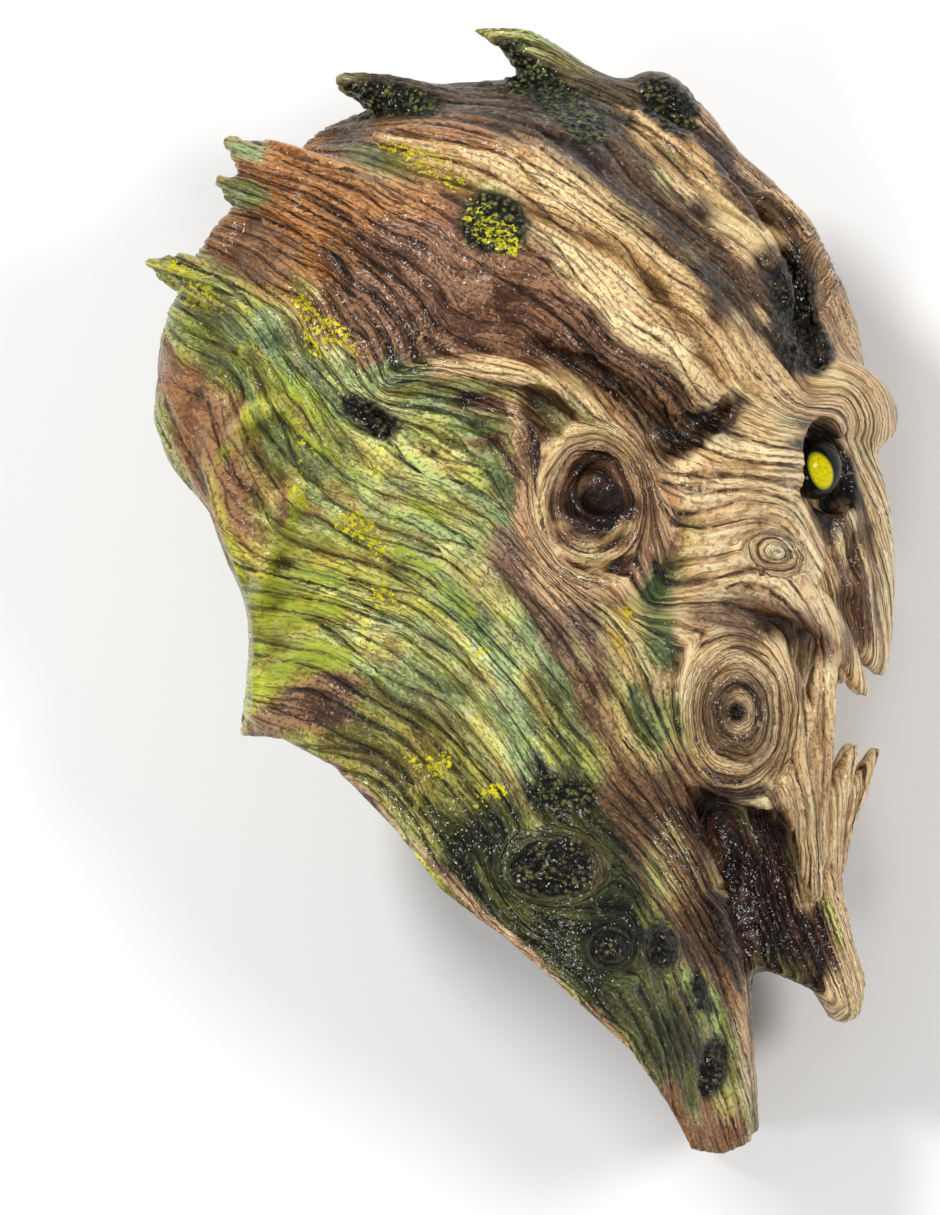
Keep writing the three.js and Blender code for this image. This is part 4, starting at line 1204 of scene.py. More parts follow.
# Paints: dark, middle and light tone in sRGB, and how deep the grain is cut there, in millimetres
ROOT_LIME = ((74, 80, 20), (156, 160, 54), (206, 208, 84), 0.4)
AMBER = ((84, 44, 20), (164, 104, 60), (214, 160, 106), 1.0)
# Painted shadow deep in the eye's socket, beside the ball
SOCKET_SHADOW = ((4, 3, 2), (12, 9, 7), (26, 20, 16), 0.0)
CREST = ((24, 17, 9), (62, 49, 34), (96, 80, 58), 0.9)
LOG_RED = ((62, 32, 14), (158, 104, 56), (206, 152, 98), 1.7)
LOG_DARK = ((34, 18, 10), (84, 56, 40), (136, 104, 80), 1.5)
LOG_PURPLE = ((46, 28, 20), (108, 76, 58), (162, 124, 100), 1.4)
# Painted shadow in the gap under the log's front end
SHADOW_UNDER_LOG = ((10, 6, 4), (34, 21, 14), (80, 56, 42), 0.8)
BONE = ((96, 64, 38), (222, 186, 134), (254, 232, 184), 1.2)
BONE_PALE = ((140, 106, 68), (212, 186, 134), (244, 222, 172), 0.6)
FOREHEAD = ((86, 62, 44), (170, 138, 106), (230, 202, 162), 1.2)
FOREHEAD_DARK = ((22, 12, 6), (54, 36, 22), (98, 72, 48), 1.1)
# Painted highlight on the tip of a root on the forehead and on the brow's boss
PAINTED_HIGHLIGHT = ((196, 166, 112), (238, 214, 160), (252, 234, 188), 0.4)
BLACK = ((10, 7, 4), (34, 27, 18), (96, 82, 66), 0.3)
BROW = ((132, 98, 64), (194, 162, 120), (244, 220, 174), 0.7)
EAR_RIM = ((64, 42, 28), (150, 116, 88), (224, 192, 152), 0.8)
EAR_BOWL = ((34, 18, 11), (124, 88, 66), (190, 156, 126), 0.6)
EAR_POCKET = ((14, 7, 4), (58, 34, 23), (112, 80, 62), 0.5)
ORB = ((8, 3, 2), (26, 13, 8), (44, 25, 16), 0.0)
CHEEKBONE = ((104, 72, 44), (236, 200, 150), (255, 238, 194), 1.1)
CHEEK = ((100, 70, 46), (240, 206, 160), (255, 242, 204), 0.9)
NOSE = ((130, 98, 68), (238, 208, 166), (255, 242, 210), 0.7)
NOSE_PIT = ((40, 27, 20), (92, 66, 48), (136, 106, 82), 0.4)
# Painted shade in the concave band under the cheek's strand
PANEL_SHADE = ((46, 32, 24), (104, 82, 66), (160, 132, 108), 0.5)
KNOT = ((66, 44, 28), (142, 112, 80), (206, 176, 132), 1.2)
KNOT_DARK = ((20, 13, 9), (60, 42, 28), (104, 80, 58), 0.8)
CORD = ((92, 64, 42), (196, 164, 122), (244, 218, 172), 1.0)
THROAT = ((8, 3, 1), (34, 17, 8), (80, 48, 29), 1.1)
CHIN = ((112, 82, 54), (212, 180, 136), (248, 226, 186), 0.8)
SPUR = ((66, 44, 30), (128, 98, 68), (186, 154, 112), 0.8)
MOSS_VALLEY = ((70, 62, 28), (178, 166, 100), (224, 216, 154), 0.6)
SEA = ((38, 48, 28), (112, 128, 86), (178, 190, 146), 0.9)
YELLOW_MOSS = ((110, 92, 24), (178, 152, 44), (222, 204, 96), 0.5)
NECK_TOP = ((66, 64, 28), (136, 138, 62), (196, 198, 108), 1.4)
NECK = ((70, 72, 34), (176, 178, 104), (230, 232, 166), 1.2)
NECK_PALE = ((84, 90, 52), (172, 180, 124), (230, 236, 188), 1.0)
LIME_ZONE = ((78, 70, 26), (166, 162, 68), (212, 212, 98), 1.1)
NECK_LOW = ((50, 50, 17), (112, 110, 42), (164, 160, 72), 1.0)
BACK_BROWN = ((74, 50, 34), (140, 98, 66), (176, 134, 94), 0.9)
BACK_PURPLE = ((58, 40, 34), (110, 80, 66), (156, 120, 90), 0.9)
HEM_PURPLE = ((38, 24, 20), (92, 68, 54), (168, 136, 104), 1.2)
CORD_PURPLE = ((50, 36, 30), (100, 78, 66), (152, 126, 108), 0.9)
CORD_BROWN = ((54, 38, 24), (104, 78, 54), (150, 120, 88), 1.0)
CORD_ORANGE = ((84, 54, 32), (152, 108, 70), (196, 154, 112), 0.9)
BIB_GREEN = ((6, 8, 1), (24, 28, 6), (56, 62, 20), 1.0)
BIB_LOW = ((30, 31, 12), (74, 74, 40), (116, 118, 72), 1.0)
BIB_TIP = ((66, 38, 20), (116, 76, 46), (160, 118, 82), 0.6)
BIB_EDGE = ((68, 52, 38), (150, 128, 102), (216, 194, 164), 0.8)
PIT_RIM = ((34, 38, 14), (70, 76, 34), (118, 122, 68), 0.5)
LINING = (150, 126, 92)

# Washes over single twigs, as shares of red, green and blue: on green paint, then on brown
SPROUT, MOULD, TWIG = (0.98, 1.04, 0.45), (0.56, 0.70, 0.64), (0.66, 0.55, 0.46)
RUSSET, PLUM = (0.86, 0.72, 0.58), (0.78, 0.71, 0.68)

# Brush strokes in the photograph's view, laid one over the other: paint, half width, line
STROKES = [
    (CHEEK, 75, [(100, 0), (105, -70)]),
    (FOREHEAD, 50, [(100, 120), (125, 70)]),
    (CREST, 24, [(-67, 144), (-31, 153), (-3, 155), (29, 147), (53, 153), (73, 146)]),
    (CREST, 14, [(-90, 150), (-50, 142), (0, 140)]),
    (CREST, 14, [(40, 140), (58, 130)]),
    (BACK_BROWN, 22, [(-117, 100), (-103, 92), (-87, 92)]),
    (BACK_BROWN, 20, [(-127, 40), (-117, 20), (-110, -10)]),
    (NECK_TOP, 16, [(-139, 84), (-111, 68), (-87, 52)]),
    (NECK_TOP, 26, [(-118, 58), (-83, 24)]),
    (BACK_BROWN, 13, [(-130, 42), (-118, 24)]),
    (BACK_BROWN, 9, [(-107, -16), (-113, -32)]),
    (BACK_PURPLE, 11, [(-113, 0), (-107, -16)]),
    (BACK_PURPLE, 8, [(-83, -4), (-91, -16)]),
    (NECK_PALE, 26, [(-31, -64), (-3, -84), (13, -104)]),
    (LIME_ZONE, 16, [(-104, -36), (-97, -64), (-99, -92)]),
    (LIME_ZONE, 9, [(-71, -32), (-35, -48), (-11, -52)]),
    (LIME_ZONE, 6, [(-92, -50), (-66, -54)]),
    (LIME_ZONE, 6, [(-94, -76), (-66, -68)]),
    (NECK_LOW, 24, [(-62, -104), (-31, -124), (-7, -148)]),
    (SEA, 11, [(-35, -32), (-7, -56)]),
    (SEA, 13, [(5, -64), (21, -88)]),
    (SEA, 12, [(21, -100), (34, -124)]),
    (SEA, 10, [(-31, 32), (-11, 16), (-2, -6)]),
    (SEA, 7, [(-96, 62), (-83, 44)]),
    (HEM_PURPLE, 8, [(-93, -98), (-71, -86)]),
    *[(ROOT_LIME, 4, line) for line in NAPE_ROOTS],
    (BIB_GREEN, 22, [(-11, -148), (21, -176), (45, -204)]),
    (BIB_GREEN, 20, [(21, -130), (37, -152), (53, -184)]),
    (BIB_LOW, 16, [(53, -208), (69, -232), (73, -248)]),
    (CORD_PURPLE, 12, [(5, -32), (25, -56), (41, -84), (53, -112)]),
    (CORD_BROWN, 13, [(34, -84), (45, -104), (65, -148), (77, -184)]),
    (CORD_ORANGE, 8, [(45, -48), (53, -80), (65, -112)]),
    (CORD_BROWN, 12, [(69, -128), (81, -168), (93, -208)]),
    (BIB_TIP, 14, [(70, -260), (93, -262)]),
    (BIB_EDGE, 7, [(95, -196), (97, -232), (99, -252)]),
    (BIB_EDGE, 1.6, [(-71, -112), (-43, -141), (-3, -180), (45, -222), (70, -264)]),
    (PIT_RIM, 19, [(12, -155), (24, -155)]),
    (LOG_RED, 22, [(-104, 128), (-83, 120), (-59, 108), (-31, 106)]),
    (LOG_RED, 26, [(-85, 110), (-66, 84), (-48, 66)]),
    (LOG_DARK, 22, [(-60, 72), (-38, 60), (-6, 54), (21, 48)]),
    (LOG_PURPLE, 26, [(-35, 84), (-3, 76), (21, 62)]),
    (LOG_PURPLE, 20, [(-23, 92), (13, 80), (45, 52)]),
    (LOG_DARK, 20, [(33, 52), (53, 38), (75, 26)]),
    # painted shadow in the gap under the log's front end
    (SHADOW_UNDER_LOG, 8, [(37, 30), (57, 18), (77, 15), (86, 24)]),
    (SEA, 5, [(-111, 134), (-100, 132)]),
    (SEA, 6, [(-116, 116), (-104, 113)]),
    (BACK_BROWN, 9, [(-110, 97), (-92, 91)]),
    (FOREHEAD_DARK, 16, [(20, 140), (44, 124), (62, 108), (81, 92), (96, 74)]),
    (CORD_ORANGE, 12, [(-47, 138), (-23, 136), (5, 126), (30, 110)]),
    (BONE, 5, [(-47, 134), (-23, 128), (5, 118), (30, 104)]),
    (BONE, 17, [(5, 122), (32, 104), (57, 82), (81, 58), (97, 38), (108, 26)]),
    (BONE, 7, [(26, 88), (44, 72), (62, 58), (78, 46)]),
    (FOREHEAD, 9, [(53, 144), (73, 116), (93, 94)]),
    (FOREHEAD, 18, [(73, 152), (93, 136), (117, 108), (135, 72)]),
    (FOREHEAD_DARK, 8, [(80, 136), (101, 112), (115, 88)]),
    (FOREHEAD, 10, [(133, 100), (141, 60)]),
    (BONE, 8, [(52, 142), (66, 124), (84, 104), (98, 92)]),
    # painted highlight on the tip of a root on the forehead
    (PAINTED_HIGHLIGHT, 6, [(86, 106), (101, 92)]),
    (FOREHEAD_DARK, 10, [(30, 136), (61, 108), (85, 82), (103, 58)]),
    (BLACK, 11, [(113, 76), (119, 52)]),
    (FOREHEAD_DARK, 7, [(104, 84), (107, 56), (117, 34)]),
    (BONE, 10, [(96, 52), (109, 34), (117, 20)]),
    (BROW, 14, [(127, 40), (141, 36), (151, 22)]),
    # painted highlight on the brow's boss
    (PAINTED_HIGHLIGHT, 4, [(126, 41), (131, 38)]),
    (CHEEKBONE, 14, [(66, 0), (85, 8), (113, 12)]),
    (CHEEKBONE, 14, [(67, -16), (93, -12), (117, -8)]),
    (CHEEK, 15, [(77, -26), (105, -30), (129, -46), (141, -64)]),
    # painted shadow along the gap under the log's front end
    (SHADOW_UNDER_LOG, 5.5, [(43, 26), (53, 17), (62, 11), (71, 13), (82, 22), (91, 28)]),
    (NOSE, 10, [(144, 4), (151, -32), (152, -64), (150, -76)]),
    # painted shadow in the socket beside the eye
    (SOCKET_SHADOW, 9, [(124, 14), (133, 6), (132, -8)]),
    (SOCKET_SHADOW, 7, [(127, -12), (130, -18)]),
    (NOSE_PIT, 6, [(138, -22), (140, -40)]),
    (NOSE_PIT, 6, [(137, -48), (141, -60)]),
    # painted shade in the concave band under the cheek's strand
    (PANEL_SHADE, 8, [(77, -53), (97, -54), (117, -57), (129, -68)]),
    (CORD, 12, [(73, -112), (93, -128), (113, -136)]),
    (KNOT, 22, [(92, -93)]),
    (KNOT_DARK, 15, [(92, -93)]),
    (CORD, 9, [(115, -84), (117, -120), (119, -156)]),
    (CORD, 8, [(131, -84), (127, -116), (129, -140)]),
    (THROAT, 20, [(85, -138), (101, -160), (115, -184)]),
    (THROAT, 12, [(100, -134), (113, -152), (125, -188), (131, -204)]),
    (THROAT, 14, [(89, -172), (101, -192)]),
    (CHIN, 9, [(137, -136), (135, -160), (139, -188), (137, -212)]),
    (CHIN, 6, [(137, -110), (134, -128)]),
    (CHIN, 6, [(146, -112), (139, -132)]),
    (CORD, 6, [(117, -120), (119, -146), (122, -164)]),
    (SPUR, 8, [(70, -104), (67, -118)]),
    (MOSS_VALLEY, 13, [(61, -30), (53, -60), (55, -88), (61, -102)]),
    (SEA, 9, [(58, -40), (60, -58), (62, -72)]),
    (SEA, 8, [(57, -86), (61, -100)]),
    (YELLOW_MOSS, 6, [(47, -48), (45, -66)]),
    (EAR_RIM, 28, [(36, -6)]),
    (EAR_RIM, 12, [(8, 28), (16, 0), (22, -30)]),
    (EAR_RIM, 7, [
        (-27, 45), (-3, 45), (21, 38), (41, 28), (57, 12), (60, -8), (59, -28), (45, -46), (25, -40),
    ]),
    (EAR_RIM, 5, [(26, -41), (14, -26), (9, -6), (14, 12)]),
    (EAR_POCKET, 11, [(8, 29), (13, 18), (13, 6)]),
    (EAR_POCKET, 8, [(-18, 32), (-5, 31)]),
    (EAR_POCKET, 7, [(-12, 16), (-3, 18)]),
    (EAR_BOWL, 20, [(34, -4)]),
    (EAR_BOWL, 9, [(22, -8), (24, 4), (35, 9), (46, 2), (46, -9), (34, -14)]),
    (BONE_PALE, 2.5, [(13, -16), (14, 3), (23, 17), (38, 20), (50, 10)]),
    (BONE_PALE, 2.5, [(20, -19), (34, -25), (48, -19)]),
    (EAR_BOWL, 4.5, [(18, -24), (33, -30), (50, -25)]),
    (BONE_PALE, 2, [(20, -28), (34, -33), (50, -29)]),
    (EAR_BOWL, 3.5, [(23, -33), (37, -38), (50, -33)]),
    (BONE_PALE, 4, [(-27, 45), (-3, 45), (21, 38), (36, 30)]),
    (BONE_PALE, 3, [(16, 12), (28, 20), (44, 18)]),
    (EAR_RIM, 3, [(2, 32), (3, 16), (6, 2)]),
    (SEA, 5, [(-52, 41), (-35, 44)]),
    (ORB, 15, [(36, -5)]),
    (BLACK, 14, [(18, -155)]),
    (BLACK, 7, [(41, -187)]),
    (BLACK, 6, [(62, -187)]),
    (BLACK, 5.5, [(77, -204), (78, -210)]),
    (BLACK, 5.5, [(83, -228), (82, -242)]),
    (BLACK, 5, [(-61, 30), (-50, 22)]),
]

# Where the skin is granular: half width, how green its paint is, line
CRUMBS = [
    (15, 1, [(-6, 103)]),
    (9, 1, [(2, 168), (17, 154), (33, 142)]),
    (8, 1, [(-59, 152), (-33, 151)]),
    (10, 0.5, [(61, 153), (69, 147)]),
    (10, 0, [(113, 78), (119, 52)]),
    (6, 0.8, [(15, -125), (29, -126)]),
    (8, 0, [(92, -93)]),
    (12, 0.4, [(12, -155), (21, -154)]),
    (7.5, 0.3, [(41, -187)]),
    (5.5, 0.3, [(62, -184), (62, -189)]),
    (5.5, 0.1, [(77, -203), (78, -210)]),
    (5.5, 0.1, [(83, -228), (82, -242)]),
    (5, 0.1, [(-61, 30), (-50, 22)]),
    (2.5, 0, [(59, -33), (60, -37)]),
]

# Yellow flecks, and lime brush marks: half width, line
YELLOW_FLECKS = [
    (5, [(-48, 132), (-35, 126), (-21, 118)]),
    (8, [(-11, 106), (-3, 94)]),
    (5, [(-135, 83), (-121, 72)]),
    (5, [(-137, 62)]),
    (6, [(-73, 60), (-65, 52)]),
    (5, [(-83, 76), (-75, 54)]),
    (4, [(-127, 76)]),
    (6, [(-84, 20), (-82, -6)]),
    (5, [(-60, -20), (-52, -28)]),
    (4, [(-51, -48)]),
    (4, [(-11, -68), (-3, -68)]),
    (5, [(-51, -110), (-27, -114)]),
    (4, [(-15, -130), (-3, -124)]),
    (4, [(49, -48), (46, -64)]),
    (4, [(-20, 20), (-4, 0)]),
]
LIME_MARKS = [
    *[(4, line) for line in NAPE_ROOTS[2:]],
    (4, [(-43, -28), (-28, -36), (-14, -50)]),
    (3, [(-48, 0), (-30, -16)]),
    (3, [(-88, 26), (-76, 12)]),
    (3, [(-128, 50), (-116, 44)]),
    (3, [(-102, 48), (-84, 34), (-70, 18)]),
]


def cover(lines, f, u, ragged, full=0.5, clear=1.3):
    """How thickly each point is covered by strokes that are full in the middle and clear outside"""
    total = np.zeros(len(f))
    for half, line in lines:
        gap, _ = nearest_on_line(np.array(line * 2 if len(line) == 1 else line, float), f, u)
        total = np.maximum(total, 1 - eased(gap + ragged, half * full, half * clear))
    return total


def painted(f, u, ragged):
    """The dark, middle and light tone of the paint at each point, and how deep the grain is there"""
    tones = np.zeros((3, len(f), 3)) + (linear(NECK[:3]) * VARNISH)[:, None, :]
    depth = np.full(len(f), NECK[3])
    for paint, half, line in STROKES:
        share = cover([(half, line)], f, u, ragged * min(1, half / 10))
        for k in range(3):
            tones[k] += share[:, None] * (linear(paint[k]) * VARNISH - tones[k])
        depth += share * (paint[3] - depth)
    return tones, depth


# How much red, green and blue count for brightness
BRIGHTNESS = np.array([0.2, 0.7, 0.1])


def varied(tones, across, along, half):
    """The paints broken up by smaller strokes of their neighbours' colours"""
    red, leaf = tones[1][:, 0], tones[1][:, 1]
    leafy = eased(leaf / np.maximum(red, 1e-4), 0.86, 1.0)
    long = noise_of(41, across / 3.5, along / 16, 7 * half)
    short = noise_of(43, across / 2.6, along / 10, 9 * half)
    spots = noise_of(44, across / 6, along / 16, half)
    aged = 1 - 0.75 * eased(tones[1] @ BRIGHTNESS, 0.25, 0.5)
    wash = np.where(leafy[:, None] > 0.5, SPROUT, RUSSET)
    wash = np.where((spots < -0.02)[:, None], np.where(leafy[:, None] > 0.5, MOULD, PLUM), wash)
    wash = np.where((spots > 0.34)[:, None], np.where(leafy[:, None] > 0.5, TWIG, PLUM), wash)
    for share, gain, paint in (
        (leafy * eased(long, 0.05, 0.5) * 0.5, 1.0, LIME_ZONE),
        (leafy * eased(long, 0.0, -0.4) * 0.75, 0.8, SEA),
        (leafy * eased(short, 0.2, 0.55) * 0.4, 0.45, CORD_BROWN),
        ((1 - leafy) * eased(long, 0.15, 0.5) * aged * 0.25, 0.7, AMBER),
        ((1 - leafy) * eased(short, 0.2, 0.6) * aged * 0.35, 0.6, LOG_PURPLE),
    ):
        hue = linear(paint[1]) * VARNISH * gain
        for k in range(3):
            level = gain * (tones[k] @ BRIGHTNESS) / (hue @ BRIGHTNESS)
            tones[k] += share[:, None] * (level[:, None] * hue - tones[k])
    return tones, wash


def to_mesh(name, points, faces):
    mesh = bpy.data.meshes.new(name)
    mesh.vertices.add(len(points))
    mesh.vertices.foreach_set("co", np.asarray(points, np.float32).ravel())
    corners = faces.shape[1]
    mesh.loops.add(faces.size)
    mesh.loops.foreach_set("vertex_index", faces.ravel().astype(np.int32))
    mesh.polygons.add(len(faces))
    mesh.polygons.foreach_set("loop_start", np.arange(0, faces.size, corners, dtype=np.int32))
    mesh.polygons.foreach_set("loop_total", np.full(len(faces), corners, np.int32))
    mesh.update(calc_edges=True)
    mesh.validate()
    return mesh


def add_object(name, mesh):
    thing = bpy.data.objects.new(name, mesh)
    bpy.context.scene.collection.objects.link(thing)
    return thing


def put_vector(mesh, name, *values):
    layer = mesh.attributes.new(name, "FLOAT_VECTOR", "POINT")
    vectors = values[0] if len(values) == 1 else np.stack(values, axis=1)
    layer.data.foreach_set("vector", np.asarray(vectors, np.float32).ravel())


def kept_inside(points, low, high):
    """The points, drawn in smoothly where they come near a box's sides and top, and held off its base"""
    for k in range(3):
        over = np.maximum(points[:, k] - (high[k] - DRAWN_IN), 0)
        points[:, k] += DRAWN_IN * np.tanh(over / DRAWN_IN) - over
    for k in (0, 1):
        under = np.maximum(low[k] + DRAWN_IN - points[:, k], 0)
        points[:, k] += under - DRAWN_IN * np.tanh(under / DRAWN_IN)
    points[:, 2] = np.maximum(points[:, 2], low[2] + OFF_FLOOR)
    return points


# Depths under the outer skin, in millimetres, at which the relief and the paint begin and are full
RELIEF_DEPTHS = (-2.4, -1.2)
PAINT_DEPTHS = (-3.4, -2.6)

# The grain: how far apart the halves lie along it, and how much a knot turns it to a millimetre
HALVES_APART = 900
KNOT_TURN = 0.7

# Patches of lighter and darker paint, as noise: strength, wavelength in millimetres and seed
PATCH_LAYERS = ((0.3, 22, 31), (0.15, 9, 32), (0.08, 4.5, 33))

# The width of the creases, and waves to a millimetre across and along the grain in which it changes
CREASE_WIDTH = 0.72
CREASE_WIDTHS = (0.25, 2.0)
WIDTH_WAVES = (0.07, 0.03, 0.03)
FINE_WIDTH_WAVES = (0.15, 0.06, 0.06)

# The relief's height in millimetres: cords where the paint's grain is 1 deep, the level that stays in place,
# and granules
CORD_HEIGHT = 2.1
CORD_LEVEL = 0.75
CRUMB_HEIGHT = 1.5
CRUMB_LEVEL = 0.4


def build_skin():
    field, soft, shell = skin_fields()
    corner = np.array([LOW[0], LOW[1], -AXES[2][-1]])
    points, faces = largest_body(*surface_net(without_touching_folds(both_halves(shell)), corner))
    points = evened(points, faces, shell)
    inside = sampled(field, points)[0]
    skin = eased(inside, *RELIEF_DEPTHS)
    painted_side = eased(inside, *PAINT_DEPTHS)
    # how deep each point lies in a hollow, where the material darkens the paint: dark wash and painted shade
    hollow = -sampled(soft, points)[0]

    # the grain's coordinates
    f, u, r = as_seen(points)
    f_line, u_line, across_grid, along_grid = grain_field()
    fold = -np.maximum(FOLD - r, 0) ** 2 / (2 * FOLD)
    across = read_grid(across_grid, f_line, u_line, f, u)
    across += fold * read_grid(inward(across_grid, f_line, u_line), f_line, u_line, f, u)
    along = read_grid(along_grid, f_line, u_line, f, u)
    half = np.sign(points[:, 2])
    across = across + 1.8 * noise_of(5, across / 18, along / 34, half)
    across = across + 0.8 * noise_of(6, across / 7, along / 14, half)
    third = np.zeros(len(points))
    wobble = 1.3 * noise_of(3, f / 9, u / 9, half)
    for knot in KNOTS:
        ring, x, y, hold = knot_place(knot, f, u)
        (f0, u0), long, tall, _, spacing = knot
        start = read_grid(across_grid, f_line, u_line, np.array([f0]), np.array([u0]))
        rings = (ring + wobble - math.sqrt(long * tall)) / spacing / CELLS["cord"][0]
        across += hold * (start + rings - across)
        along += hold * (KNOT_TURN * x - along)
        third += hold * KNOT_TURN * y
    grain = np.stack([across, along + HALVES_APART * half, third], axis=1)

    patch = sum((strength * noise(points / length, seed) for strength, length, seed in PATCH_LAYERS), 0.5)
    width = CREASE_WIDTH + 0.8 * noise(grain * WIDTH_WAVES, 34) + 0.5 * noise(grain * FINE_WIDTH_WAVES, 35)
    width = np.clip(width, *CREASE_WIDTHS)
    ragged = 7 * noise_of(21, across / 3.5, along / 26, third / 30 + half)
    ragged += 6 * noise_of(22, f / 16, u / 16, half)
    tones, cut = painted(f, u, ragged)
    tones, wash = varied(tones, across, along, half)
    crumb = cover([(size, line) for size, _, line in CRUMBS], f, u, ragged * 0.3, 0.8, 1.1)
    green = np.zeros(len(f))
    for size, tint, line in CRUMBS:
        green = np.maximum(green, tint * cover([(size, line)], f, u, ragged * 0.4))
    yellow = cover(YELLOW_FLECKS, f, u, ragged * 0.6)
    lime = cover(LIME_MARKS, f, u, ragged * 0.5)

    # the relief: rounded cords of bark with creases between them, and granules
    thing = add_object("mask_skin", to_mesh("fine", points, faces))
    put_vector(thing.data, "grain", grain)
    cord, twig = read_creases(thing)
    height = 0.8 * np.sqrt(eased(cord, -0.2, 3.2)) + 0.2 * eased(twig, -0.1, 0.9)
    patchy = 0.75 + 0.5 * noise_of(9, f / 24, u / 24, half)
    lift = (height - CORD_LEVEL) * cut * patchy * CORD_HEIGHT
    lumps = 1.1 * np.abs(noise(points / 3.2, 7)) + 0.5 * noise(points / 2.0, 8)
    lift = lift * (1 - crumb) + crumb * CRUMB_HEIGHT * (lumps - CRUMB_LEVEL)
    moved = points + point_normals(points, faces) * (lift * skin)[:, None]
    placed = kept_inside(to_row(moved), *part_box("mask_shell"))
    mesh = thing.data
    mesh.vertices.foreach_set("co", placed.astype(np.float32).ravel())
    for key, tone in zip(("dark", "middle", "light"), tones):
        put_vector(mesh, key, tone)
    put_vector(mesh, "wash", wash)
    put_vector(mesh, "form", patch, hollow, painted_side)
    put_vector(mesh, "growth", crumb, green, yellow)
    put_vector(mesh, "marks", lime, width, cut)
    thin = thing.modifiers.new("thin", "DECIMATE")
    thin.ratio = SKIN_TRIANGLES / (2 * len(faces))
    thing.data = baked_mesh(thing)
    thing.data.shade_smooth()
    return thing


# Noise that follows the grain: waves to a millimetre across it and along it, detail and roughness
THREAD = ((1.3, 0.12, 0.12), 3.0, 0.6)
STIPPLE = ((1.25, 0.55, 0.55), 2.0, 0.6)
STREAK = ((0.55, 0.17, 0.17), 3.0, 0.7)
# the next noise places the pale painted glints
GLINT_GRAIN = ((1.1, 0.4, 0.4), 3.0, 0.75)

# Waves to a metre of the granules, the varnish's facets, the clumps of growth and the yellow flecks
PEBBLES = 430.0
FACETS = 480.0
CLUMPS = 160.0
FLECKS = 420.0

# Heights of the relief and of the varnish's facets in the bump, in metres
RELIEF_BUMP = 0.0009
FACET_BUMP = 0.0007

# Colours of the washes, the painted glints, the flecks and the growth, in sRGB, and the darker of two first
SOOT = (14, 6, 2)
GLINT_WHITE = (250, 250, 226)
GRANULE_GAP = (7, 5, 3)
LIME = (164, 180, 50)
MOSS = ((50, 56, 24), (128, 134, 64))
SCAB = ((24, 17, 10), (100, 84, 60))
YELLOW = ((186, 180, 24), (232, 218, 30))


